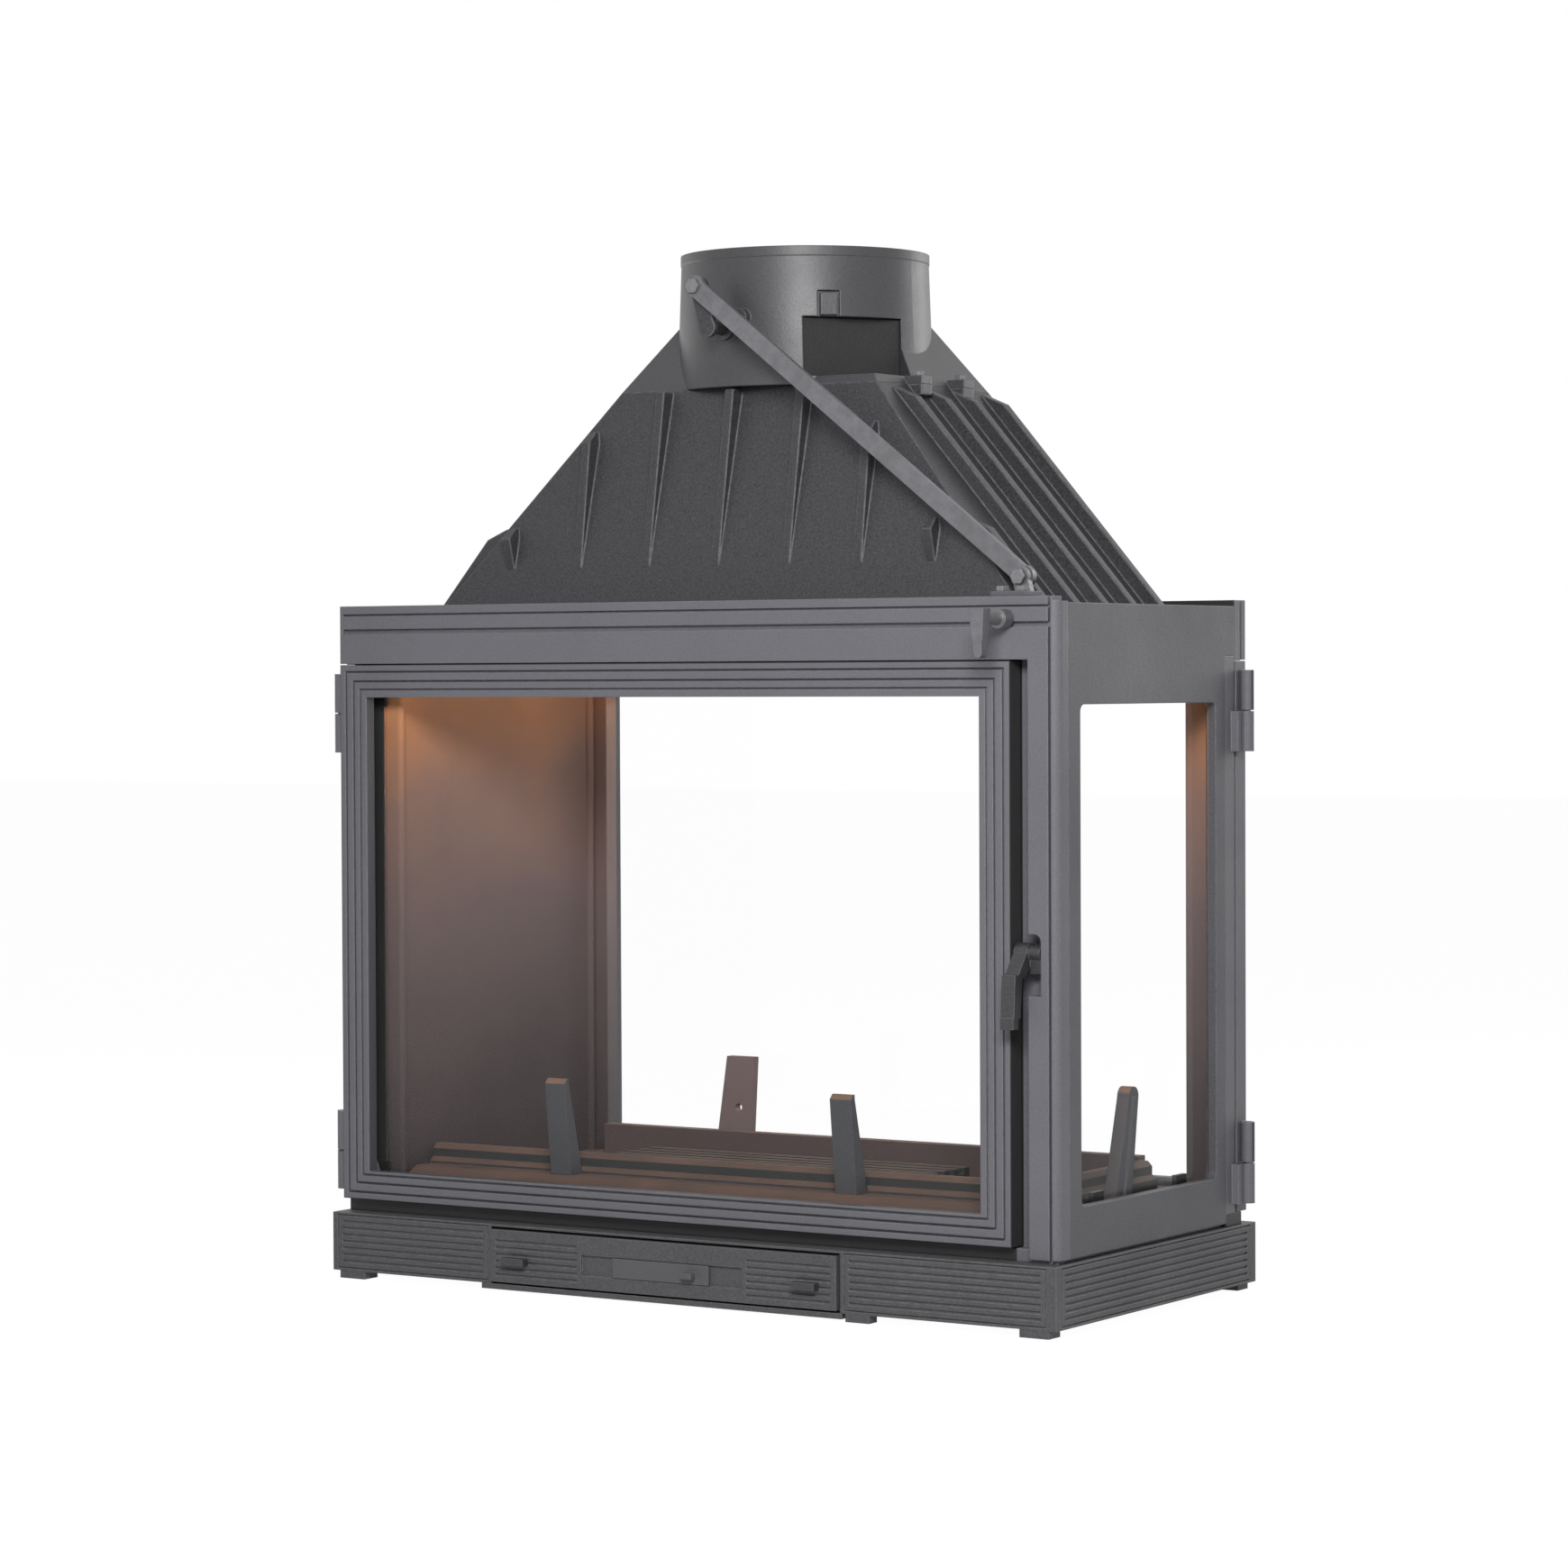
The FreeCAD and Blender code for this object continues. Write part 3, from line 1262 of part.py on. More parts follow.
def damper_flap():
    z0, z1 = f"{AXLE_Z} - flap_thickness / 2", f"{AXLE_Z} + flap_thickness / 2"
    disc = rod("z", "hood_x", "flue_y", z0, z1, "flap_radius")
    sleeve = rod("y", AXLE_X, "flue_y - 60", AXLE_Z, "flue_y + 60", "9")
    y0, y1 = "flue_y - flap_radius", "flue_y + flap_radius"
    bore = rod("y", AXLE_X, y0, AXLE_Z, y1, "shaft_radius + running_fit")
    return cut(join(disc, sleeve), bore)


# All nodes by name
NODES = {
    "plinth": plinth(),
    "drawer_shelf": drawer_shelf(),
    "ash_drawer_front": drawer_front(),
    "ash_drawer_pulls": drawer_pulls(),
    "ash_pan": ash_pan(),
    "air_slider": air_slider(),
    "hearth_plate": hearth_plate(),
    "grate": grate(),
    "front_log_posts": front_log_posts(),
    "rear_log_posts": rear_log_posts(),
    "side_log_post": side_log_post(),
    "front_log_rail": front_log_rail(),
    "rear_log_rail": rear_log_rail(),
    "side_log_rail": side_log_rail(),
    "left_wall": left_wall(),
    "left_fireback": left_fireback(),
    "insulation_board": insulation_board(),
    "front_frame": front_frame(),
    "rear_frame": rear_frame(),
    "side_plate": side_plate(),
    "side_glass": side_glass(),
    "side_gasket": side_gasket(),
    "side_glass_clips": side_glass_clips(),
    "deck_plate": deck_plate(),
    "hood_lower": hood_lower(),
    "hood_cap": hood_cap(),
    "flue_hatch": flue_hatch(),
    "seam_bolts": seam_bolts(),
    "smoke_baffle": smoke_baffle(),
    "damper_bracket": damper_bracket(),
    "bracket_bolts": bracket_bolts(),
    "damper_lever": damper_lever(),
    "damper_shaft": damper_shaft(),
    "damper_crank": damper_crank(),
    "damper_link": damper_link(),
    "link_pins": link_pins(),
    "flap_crank": flap_crank(),
    "flap_axle": flap_axle(),
    "damper_flap": damper_flap(),
}

DOOR_PIECES = {
    "door_frame": door_frame,
    "door_glass": door_glass,
    "door_gasket": door_gasket,
    "door_clips": door_clips,
    "door_seal": door_seal,
    "hinge_pins": hinge_pins,
    "latch_handle": latch_handle,
    "latch_pin": latch_pin,
}
for name, build in DOOR_PIECES.items():
    NODES[f"front_{name}"] = build()
    NODES[f"rear_{name}"] = half_turn(build())

for name, item in NODES.items():
    item.Label = name
doc.recompute()

# Every object must be sound before anything is written
for item in doc.Objects:
    if "Invalid" in item.State or "Error" in item.State:
        raise RuntimeError(f"{item.Name} ({item.Label}) is {item.State}")
for name, item in NODES.items():
    if item.Shape.isNull() or not item.Shape.isValid():
        raise RuntimeError(f"{name} has no sound shape")

os.makedirs("parts", exist_ok=True)
for name, item in NODES.items():
    item.Shape.exportStep(f"parts/{name}.step")
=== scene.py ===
import math
import bpy
from mathutils import Matrix, Vector


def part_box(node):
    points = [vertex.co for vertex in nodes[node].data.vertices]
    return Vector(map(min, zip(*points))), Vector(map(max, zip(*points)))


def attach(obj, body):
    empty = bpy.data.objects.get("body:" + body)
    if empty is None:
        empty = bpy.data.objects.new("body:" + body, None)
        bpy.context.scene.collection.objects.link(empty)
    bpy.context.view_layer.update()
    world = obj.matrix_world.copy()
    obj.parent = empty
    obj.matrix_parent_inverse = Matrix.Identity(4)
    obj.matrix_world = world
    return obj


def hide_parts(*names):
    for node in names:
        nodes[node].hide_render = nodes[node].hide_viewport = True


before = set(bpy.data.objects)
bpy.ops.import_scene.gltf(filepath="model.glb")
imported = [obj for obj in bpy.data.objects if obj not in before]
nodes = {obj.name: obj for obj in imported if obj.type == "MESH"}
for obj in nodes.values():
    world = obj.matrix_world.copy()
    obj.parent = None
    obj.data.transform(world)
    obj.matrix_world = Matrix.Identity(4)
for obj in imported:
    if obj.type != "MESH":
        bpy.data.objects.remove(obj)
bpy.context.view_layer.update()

# Looks of the three-sided fireplace insert: painted castings, clear panes, rope seals.
# Metres, X to the right, Y to the back, Z up.

body_middle_y = 0.013


# Distances of the castings from the middle of the body

CHAMBER_HALF_WIDTH = 0.3432
CHAMBER_HALF_DEPTH = 0.1379
SEAT_AWAY = 0.138
FACE_AWAY = 0.158

# Height of the fire chamber, and of the iron that is browned by the fire and painted with a warm glow

CHAMBER_MIDDLE_Z = 0.300
CHAMBER_HALF_HEIGHT = 0.228
SCORCH_AND_GLOW_LOW_Z = 0.09
SCORCH_AND_GLOW_HIGH_Z = 0.53

# Lap of a pane behind its window, depth of a rim, and how softly a change of tone ends

PANE_LAP = 0.0085
RIM_DEPTH = 0.0004
SOFT_END = 0.0006
SHARP_END = 0.0002

# Widths of the soft rings round the doors and panes, and the step along a tape

SEAL_BAND = 0.008
GASKET_BAND = 0.006
SIDE_GASKET_BAND = 0.0075
TAPE_STEP = 0.02


# Camera, worked out from the straight edges of the body

SENSOR_WIDTH = 36.0
FOCAL_PIXELS = 4927.0
PICTURE_PIXELS = 1740.0
CAMERA_DEGREES = (32.79, 1.36, -0.25)
CAMERA_PLACE = (2.0185, -3.1240, 0.5090)


def camera_at_photo():
    data = bpy.data.cameras.new("camera")
    data.sensor_width = SENSOR_WIDTH
    data.lens = SENSOR_WIDTH * FOCAL_PIXELS / PICTURE_PIXELS
    data.clip_end = 60.0
    turn, pitch, roll = (math.radians(angle) for angle in CAMERA_DEGREES)
    back = Vector((math.sin(turn) * math.cos(pitch), -math.cos(turn) * math.cos(pitch), math.sin(pitch)))
    level = Vector((math.cos(turn), math.sin(turn), 0.0))
    right = level * math.cos(roll) + back.cross(level) * math.sin(roll)
    up = back.cross(right)
    camera = bpy.data.objects.new("camera", data)
    camera.matrix_world = Matrix((right, up, back)).transposed().to_4x4()
    camera.location = CAMERA_PLACE
    bpy.context.scene.collection.objects.link(camera)
    bpy.context.scene.camera = camera


# Node helpers


def new_material(name):
    material = bpy.data.materials.new(name)
    material.use_nodes = True
    tree = material.node_tree
    tree.nodes.clear()
    return material, tree


def set_or_link(tree, socket, value):
    if isinstance(value, bpy.types.NodeSocket):
        tree.links.new(value, socket)
    else:
        socket.default_value = value


def add(tree, kind, settings=None, **inputs):
    """A node with its settings and its inputs; an input is a value or another node's socket."""
    node = tree.nodes.new(kind)
    for name, value in (settings or {}).items():
        setattr(node, name, value)
    for name, value in inputs.items():
        set_or_link(tree, node.inputs[name.replace("_", " ")], value)
    return node


def maths(tree, operation, *values):
    node = add(tree, "ShaderNodeMath", {"operation": operation})
    for socket, value in zip(node.inputs, values):
        set_or_link(tree, socket, value)
    return node.outputs[0]


def vector_maths(tree, operation, *values, scale=None):
    node = add(tree, "ShaderNodeVectorMath", {"operation": operation})
    for socket, value in zip(node.inputs, values):
        set_or_link(tree, socket, value)
    if scale is not None:
        set_or_link(tree, node.inputs["Scale"], scale)
    return node.outputs["Value" if operation == "DOT_PRODUCT" else "Vector"]


def place_on_object(tree):
    split = add(tree, "ShaderNodeSeparateXYZ", Vector=add(tree, "ShaderNodeTexCoord").outputs["Object"])
    return [split.outputs[axis] for axis in "XYZ"]


def noise(tree, scale, detail=3.0, rough=0.55, stretch=(1.0, 1.0, 1.0)):
    """Fine or coarse speckle on the piece's own coordinates, scale in spots per metre."""
    place = add(tree, "ShaderNodeTexCoord")
    mapped = add(tree, "ShaderNodeMapping", Vector=place.outputs["Object"], Scale=stretch)
    spots = add(tree, "ShaderNodeTexNoise", Vector=mapped.outputs[0], Scale=scale)
    spots.inputs["Detail"].default_value = detail
    spots.inputs["Roughness"].default_value = rough
    return spots.outputs["Fac"]


def spread(tree, source, low, high, out_low, out_high):
    """A value range moved to another range, held at both ends."""
    node = add(tree, "ShaderNodeMapRange", {"clamp": True}, Value=source)
    for name, value in zip(("From Min", "From Max", "To Min", "To Max"), (low, high, out_low, out_high)):
        node.inputs[name].default_value = value
    return node.outputs["Result"]


def within(tree, value, middle, half, soft):
    """One inside a stretch of one axis, nought outside, with a soft end."""
    away = maths(tree, "ABSOLUTE", maths(tree, "SUBTRACT", value, middle))
    return spread(tree, away, half - soft, half, 1.0, 0.0)


def blend_colour(tree, share, first, second, mode="MIX"):
    node = add(tree, "ShaderNodeMix", {"data_type": "RGBA", "blend_type": mode})
    for index, value in ((0, share), (6, first), (7, second)):
        set_or_link(tree, node.inputs[index], value)
    return node.outputs[2]


def grey(value, blue=0.0):
    """A near-neutral linear colour; blue above zero is cool, below it is warm."""
    return (value, value, value * (1.0 + blue), 1.0)


def rounded_edge(tree, radius):
    """Rounded normal near edges, and a mask that is one on the edges themselves."""
    rounded = add(tree, "ShaderNodeBevel", {"samples": 6}, Radius=radius)
    flat = add(tree, "ShaderNodeNewGeometry")
    likeness = vector_maths(tree, "DOT_PRODUCT", rounded.outputs[0], flat.outputs["Normal"])
    return rounded.outputs[0], spread(tree, likeness, 0.80, 0.995, 1.0, 0.0)


def facing_up(tree, low, high):
    """How far a surface faces upwards, where painted warm light from above goes."""
    split = add(tree, "ShaderNodeSeparateXYZ", Vector=add(tree, "ShaderNodeNewGeometry").outputs["Normal"])
    return spread(tree, split.outputs["Z"], low, high, 0.0, 1.0)


def in_the_chamber(tree):
    """One on the surfaces that face the fire chamber, nought on the outside of the body."""
    x, y, z = place_on_object(tree)
    across = within(tree, x, 0.0, CHAMBER_HALF_WIDTH, SOFT_END)
    deep = within(tree, y, body_middle_y, CHAMBER_HALF_DEPTH, SOFT_END)
    tall = within(tree, z, CHAMBER_MIDDLE_Z, CHAMBER_HALF_HEIGHT, 0.010)
    return maths(tree, "MULTIPLY", maths(tree, "MULTIPLY", across, deep), tall)


def in_the_window(tree, pane):
    """One on the inner edges of a door's window, behind its front face."""
    low, high = (Vector(corner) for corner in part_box(pane))
    middle, half = (low + high) / 2, (high - low) / 2
    x, y, z = place_on_object(tree)
    across = within(tree, x, middle.x, half.x - PANE_LAP + SOFT_END, SHARP_END)
    tall = within(tree, z, middle.z, half.z - PANE_LAP + SOFT_END, SHARP_END)
    deep = within(tree, y, body_middle_y, FACE_AWAY - SOFT_END, SOFT_END)
    return maths(tree, "MULTIPLY", maths(tree, "MULTIPLY", across, tall), deep)


def on_the_rim(tree, casting):
    """One on the outer edges of a casting, nought within its outline."""
    low, high = (Vector(corner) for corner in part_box(casting))
    middle, half = (low + high) / 2, (high - low) / 2
    x, _, z = place_on_object(tree)
    across = within(tree, x, middle.x, half.x - RIM_DEPTH, 0.0003)
    tall = within(tree, z, middle.z, half.z - RIM_DEPTH, 0.0003)
    return maths(tree, "SUBTRACT", 1.0, maths(tree, "MULTIPLY", across, tall))


def shade_behind_door(tree, door):
    """One on the seat a door closes on and on the recess below it, which take painted shade."""
    low, high = (Vector(corner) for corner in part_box(door))
    x, y, z = place_on_object(tree)
    away = maths(tree, "ABSOLUTE", maths(tree, "SUBTRACT", y, body_middle_y))
    seat = within(tree, away, SEAT_AWAY, SOFT_END, SHARP_END)
    below = spread(tree, z, low.z - 0.0005, low.z, 1.0, 0.0)
    set_back = spread(tree, away, FACE_AWAY - 0.005, FACE_AWAY - 0.004, 1.0, 0.0)
    recess = maths(tree, "MULTIPLY", below, set_back)
    across = within(tree, x, (low.x + high.x) / 2, (high.x - low.x) / 2, SHARP_END)
    return maths(tree, "MULTIPLY", across, maths(tree, "MAXIMUM", seat, recess))


# Stops of the fire chamber's colour: browning by the fire, with a painted warm glow that grows to orange at
# the top.
CHAMBER_LOW_GREY = (0.066, 0.052, 0.053, 1.0)
SCORCH_AND_GLOW_ORANGE = (0.66, 0.28, 0.12, 1.0)
SCORCH_AND_GLOW_STOPS = (
    (0.15, (0.085, 0.067, 0.068, 1.0)),
    (0.48, (0.150, 0.108, 0.107, 1.0)),
    (0.74, (0.250, 0.145, 0.112, 1.0)),
    (0.90, (0.440, 0.195, 0.098, 1.0)),
)


def scorch_and_glow(tree):
    """Colour of iron browned by the fire, grey low down to orange under the hood, with a painted warm glow
    at the top.
    """
    _, _, z = place_on_object(tree)
    smoke = noise(tree, 5.0, 4.0, 0.6)
    rise = spread(tree, z, SCORCH_AND_GLOW_LOW_Z, SCORCH_AND_GLOW_HIGH_Z, 0.0, 1.0)
    ramp = add(tree, "ShaderNodeValToRGB")
    tree.links.new(maths(tree, "ADD", rise, spread(tree, smoke, 0.3, 0.7, -0.08, 0.08)), ramp.inputs["Fac"])
    stops = ramp.color_ramp.elements
    stops[0].color = CHAMBER_LOW_GREY
    stops[1].color = SCORCH_AND_GLOW_ORANGE
    for position, colour in SCORCH_AND_GLOW_STOPS:
        stops.new(position).color = colour
    return ramp.outputs[0]


def surface(tree, shader):
    output = add(tree, "ShaderNodeOutputMaterial")
    tree.links.new(shader, output.inputs["Surface"])


# Finishes


def stove_paint(
    name,
    colour,
    edge_colour,
    rough=0.5,
    shine=0.35,
    grain=0.00025,
    edge_radius=0.0016,
    inside=False,
    pane=None,
    door=None,
):
    """Matte anthracite paint on sand-cast iron: cloudy tone, sand grain, rubbed edges with painted
    highlights.

    A casting with an inside is browned on the surfaces that face the fire chamber, with a painted warm glow
    at the top.
    A door has painted shade on its rim and is black round its pane; its frame has painted shade where the
    door covers it.
    """
    material, tree = new_material(name)
    clouds = noise(tree, 9.0, 4.0)
    sand = noise(tree, 620.0, 3.0, 0.6)
    pits = noise(tree, 170.0, 2.0)
    toned = blend_colour(tree, spread(tree, clouds, 0.3, 0.7, 0.0, 0.14), colour, grey(0.03))
    speckled = blend_colour(tree, spread(tree, sand, 0.35, 0.7, 0.0, 0.20), toned, edge_colour)
    normal, edge = rounded_edge(tree, edge_radius)
    # Edges go towards the edge colour: rubbed wear together with painted edge highlights.
    wear_and_highlight = maths(tree, "MULTIPLY", edge, spread(tree, pits, 0.3, 0.65, 0.25, 0.8))
    edged = blend_colour(tree, wear_and_highlight, speckled, edge_colour)
    # The chamber side is browned, with the painted warm glow towards the top.
    if inside:
        edged = blend_colour(tree, in_the_chamber(tree), edged, scorch_and_glow(tree))
    if pane:
        # Painted shade on the door's rim.
        rim_shaded = blend_colour(tree, on_the_rim(tree, door), edged, grey(0.040))
        edged = blend_colour(tree, in_the_window(tree, pane), rim_shaded, grey(0.010))
    elif door:
        # Painted shade on the seat and on the recess under the door.
        edged = blend_colour(tree, shade_behind_door(tree, door), edged, grey(0.022))
    height = maths(tree, "ADD", sand, pits)
    bump = add(tree, "ShaderNodeBump", Strength=0.5, Distance=grain, Height=height, Normal=normal)
    shader = add(tree, "ShaderNodeBsdfPrincipled", Base_Color=edged, Normal=bump.outputs[0])
    shader.inputs["Specular IOR Level"].default_value = shine
    tree.links.new(spread(tree, clouds, 0.3, 0.7, rough - 0.06, rough + 0.08), shader.inputs["Roughness"])
    surface(tree, shader.outputs[0])
    return material


def drawn_steel(name, colour, along, rough=0.42):
    """Bare drawn steel with fine marks along one axis."""
    material, tree = new_material(name)
    marks = noise(tree, 420.0, 3.0, 0.6, along)
    stains = noise(tree, 24.0, 4.0)
    toned = blend_colour(tree, spread(tree, marks, 0.3, 0.7, 0.0, 0.45), colour, grey(0.09, 0.06))
    stained = blend_colour(tree, spread(tree, stains, 0.45, 0.75, 0.0, 0.4), toned, grey(0.10, -0.05))
    normal, _ = rounded_edge(tree, 0.0008)
    bump = add(tree, "ShaderNodeBump", Strength=0.35, Distance=0.0001, Height=marks, Normal=normal)
    shader = add(tree, "ShaderNodeBsdfPrincipled", Base_Color=stained, Normal=bump.outputs[0], Metallic=0.6)
    tree.links.new(spread(tree, marks, 0.3, 0.7, rough - 0.08, rough + 0.12), shader.inputs["Roughness"])
    surface(tree, shader.outputs[0])
    return material


def heated_plate(name):
    """Fireback iron browned by the fire, with a painted warm glow towards the top."""
    material, tree = new_material(name)
    sand = noise(tree, 700.0, 3.0)
    grain = blend_colour(tree, spread(tree, sand, 0.35, 0.7, 0.0, 0.14), scorch_and_glow(tree), grey(0.06))
    normal, _ = rounded_edge(tree, 0.001)
    bump = add(tree, "ShaderNodeBump", Strength=0.3, Distance=0.00015, Height=sand, Normal=normal)
    shader = add(tree, "ShaderNodeBsdfPrincipled", Base_Color=grain, Normal=bump.outputs[0], Roughness=0.75)
    shader.inputs["Specular IOR Level"].default_value = 0.15
    surface(tree, shader.outputs[0])
    return material


def top_lit_iron(name, colour, overlay, low, high):
    """Grey firebox iron with painted warm light on the surfaces that face upwards."""
    material, tree = new_material(name)
    sand = noise(tree, 700.0, 3.0)
    clouds = noise(tree, 22.0, 4.0)
    grain = blend_colour(tree, spread(tree, sand, 0.35, 0.7, 0.0, 0.2), colour, grey(0.03))
    # Upward faces take the painted warm light, in patches.
    top_glow_share = maths(tree, "MULTIPLY", facing_up(tree, low, high), spread(tree, clouds, 0.3, 0.65, 0.65, 1.0))
    tinted = blend_colour(tree, top_glow_share, grain, overlay)
    normal, edge = rounded_edge(tree, 0.0012)
    edged = blend_colour(tree, maths(tree, "MULTIPLY", edge, 0.35), tinted, grey(0.16, 0.02))
    bump = add(tree, "ShaderNodeBump", Strength=0.3, Distance=0.00015, Height=sand, Normal=normal)
    shader = add(tree, "ShaderNodeBsdfPrincipled", Base_Color=edged, Normal=bump.outputs[0], Roughness=0.7)
    shader.inputs["Specular IOR Level"].default_value = 0.2
    surface(tree, shader.outputs[0])
    return material


def clear_pane(name):
    """Clear heat-proof glass that lets the lamps reach the fire chamber."""
    material, tree = new_material(name)
    haze = noise(tree, 14.0, 3.0)
    glass = add(tree, "ShaderNodeBsdfPrincipled", Transmission_Weight=1.0, IOR=1.12)
    glass.inputs["Base Color"].default_value = (1.0, 1.0, 1.0, 1.0)
    glass.inputs["Specular IOR Level"].default_value = 0.12
    tree.links.new(spread(tree, haze, 0.5, 0.8, 0.0, 0.01), glass.inputs["Roughness"])
    through = add(tree, "ShaderNodeBsdfTransparent", Color=(0.98, 0.985, 0.98, 1.0))
    rays = add(tree, "ShaderNodeLightPath")
    either = maths(tree, "MAXIMUM", rays.outputs["Is Shadow Ray"], rays.outputs["Is Diffuse Ray"])
    mix = add(tree, "ShaderNodeMixShader")
    for socket, source in zip(mix.inputs, (either, glass.outputs[0], through.outputs[0])):
        tree.links.new(source, socket)
    surface(tree, mix.outputs[0])
    return material


def glass_yarn(name, colour):
    """Woven glass-fibre yarn: fine crossing threads, very matte."""
    material, tree = new_material(name)
    place = add(tree, "ShaderNodeTexCoord")
    threads = []
    for turn in (0.7, -0.7):
        mapped = add(tree, "ShaderNodeMapping", Vector=place.outputs["Object"], Rotation=(turn, turn, turn))
        wave = add(tree, "ShaderNodeTexWave", Vector=mapped.outputs[0], Scale=420.0, Distortion=1.2)
        wave.inputs["Detail"].default_value = 1.0
        threads.append(wave.outputs["Fac"])
    height = maths(tree, "ADD", *threads)
    fuzz = noise(tree, 300.0, 3.0)
    shaded = blend_colour(tree, spread(tree, height, 0.4, 1.6, 0.5, 0.0), colour, grey(0.02))
    tinted = blend_colour(tree, spread(tree, fuzz, 0.4, 0.7, 0.0, 0.3), shaded, grey(0.18))
    bump = add(tree, "ShaderNodeBump", Strength=0.5, Distance=0.0002, Height=height)
    shader = add(tree, "ShaderNodeBsdfPrincipled", Base_Color=tinted, Normal=bump.outputs[0], Roughness=0.95)
    surface(tree, shader.outputs[0])
    return material


def mineral_board(name):
    """Pressed vermiculite board with golden flakes."""
    material, tree = new_material(name)
    place = add(tree, "ShaderNodeTexCoord")
    flakes = add(tree, "ShaderNodeTexVoronoi", Vector=place.outputs["Object"], Scale=180.0)
    overlay = noise(tree, 60.0, 4.0)
    toned = blend_colour(tree, flakes.outputs["Color"], (0.46, 0.36, 0.22, 1.0), (0.62, 0.52, 0.36, 1.0))
    tinted = blend_colour(tree, spread(tree, overlay, 0.4, 0.7, 0.0, 0.5), toned, (0.40, 0.34, 0.26, 1.0))
    bump = add(tree, "ShaderNodeBump", Strength=0.5, Distance=0.0006, Height=flakes.outputs["Distance"])
    shader = add(tree, "ShaderNodeBsdfPrincipled", Base_Color=tinted, Normal=bump.outputs[0], Roughness=0.9)
    surface(tree, shader.outputs[0])
    return material


def dress(material, *names):
    """Give CAD pieces their finish."""
    for name in names:
        slots = nodes[name].material_slots
        if not slots:
            nodes[name].data.materials.append(material)
        for slot in slots:
            slot.material = material


# The edge colours are lighter than the paint: rubbed wear together with painted edge highlights.
anthracite, rubbed_and_highlit = grey(0.135, 0.12), grey(0.26, 0.10)
for side in ("front", "rear"):
    door = f"{side}_door_frame"
    dress(stove_paint(f"{side}_frame_paint", anthracite, rubbed_and_highlit, inside=True, door=door), f"{side}_frame")
    dress(stove_paint(f"{side}_door_paint", anthracite, rubbed_and_highlit, pane=f"{side}_door_glass", door=door), door)
# The side plates and left wall, the hood and its collar are darker copies of the anthracite paint: painted
# shade.
side_paint = stove_paint("side_paint", grey(0.080, 0.12), rubbed_and_highlit, inside=True)
shaded_hood = stove_paint(
    "hood_paint",
    grey(0.026, 0.12),
    grey(0.22, 0.10),
    rough=0.44,
    shine=0.40,
    edge_radius=0.0026,
)
shaded_collar = stove_paint("collar_paint", grey(0.036, 0.12), grey(0.12, 0.10), rough=0.46, shine=0.62)
base = stove_paint("base_paint", grey(0.066, 0.06), grey(0.27, 0.06), rough=0.55, edge_radius=0.0012)
black = stove_paint("black_steel", grey(0.016), grey(0.07), edge_radius=0.0008)
latch = stove_paint(
    "latch_iron",
    grey(0.026, 0.08),
    grey(0.16, 0.08),
    rough=0.4,
    shine=0.5,
    edge_radius=0.0014,
)
sheet = stove_paint("sheet_steel", grey(0.095, 0.08), grey(0.18, 0.08), rough=0.45, grain=0.0001)
bar = drawn_steel("linkage_steel", grey(0.20, 0.08), (0.3, 1.0, 0.3))
bright = drawn_steel("bright_steel", grey(0.26, 0.05), (1.0, 1.0, 1.0), rough=0.38)
fireback = heated_plate("fireback_iron")
# The upward faces of the hearth, rails and posts take a painted warm light from the fire.
hearth = top_lit_iron("hearth_iron", grey(0.045), (0.155, 0.098, 0.078, 1.0), 0.25, 0.7)
post = top_lit_iron("post_iron", grey(0.085, 0.10), (0.30, 0.17, 0.115, 1.0), 0.25, 0.6)
# The rear posts and rail are brown copies of the firebox iron with warm tops, the posts lighter and the rail
# darker: painted warm light.
warm_top_light = (0.24, 0.15, 0.12, 1.0)
warm_lit_post = top_lit_iron("scorched_post_iron", (0.23, 0.17, 0.168, 1.0), warm_top_light, 0.25, 0.6)
warm_lit_rail = top_lit_iron("scorched_rail_iron", (0.120, 0.088, 0.088, 1.0), warm_top_light, 0.25, 0.6)
pane = clear_pane("pane_glass")
yarn = glass_yarn("glass_yarn", grey(0.07))
tape = glass_yarn("glass_tape", grey(0.10))
board = mineral_board("mineral_board")

dress(side_paint, "side_plate", "left_wall")
dress(shaded_collar, "hood_cap")
dress(shaded_hood, "hood_lower", "deck_plate", "smoke_baffle", "flap_crank")
dress(base, "plinth", "drawer_shelf", "ash_drawer_front")
dress(hearth, "hearth_plate", "grate", "front_log_rail", "side_log_rail", "damper_flap", "flap_axle")
dress(post, "front_log_posts", "side_log_post")
dress(warm_lit_post, "rear_log_posts")
dress(warm_lit_rail, "rear_log_rail")
dress(black, "flue_hatch", "side_glass_clips", "front_door_clips", "rear_door_clips")
dress(black, "front_latch_pin", "rear_latch_pin")
dress(latch, "front_latch_handle", "rear_latch_handle", "ash_drawer_pulls")
dress(sheet, "ash_pan", "air_slider", "damper_bracket")
dress(bar, "damper_link", "damper_lever", "damper_crank")
dress(bright, "damper_shaft", "link_pins", "seam_bolts", "bracket_bolts")
dress(bright, "front_hinge_pins", "rear_hinge_pins")
dress(fireback, "left_fireback")
dress(pane, "front_door_glass", "rear_door_glass", "side_glass")
dress(board, "insulation_board")


# Pieces that repeat or follow a path


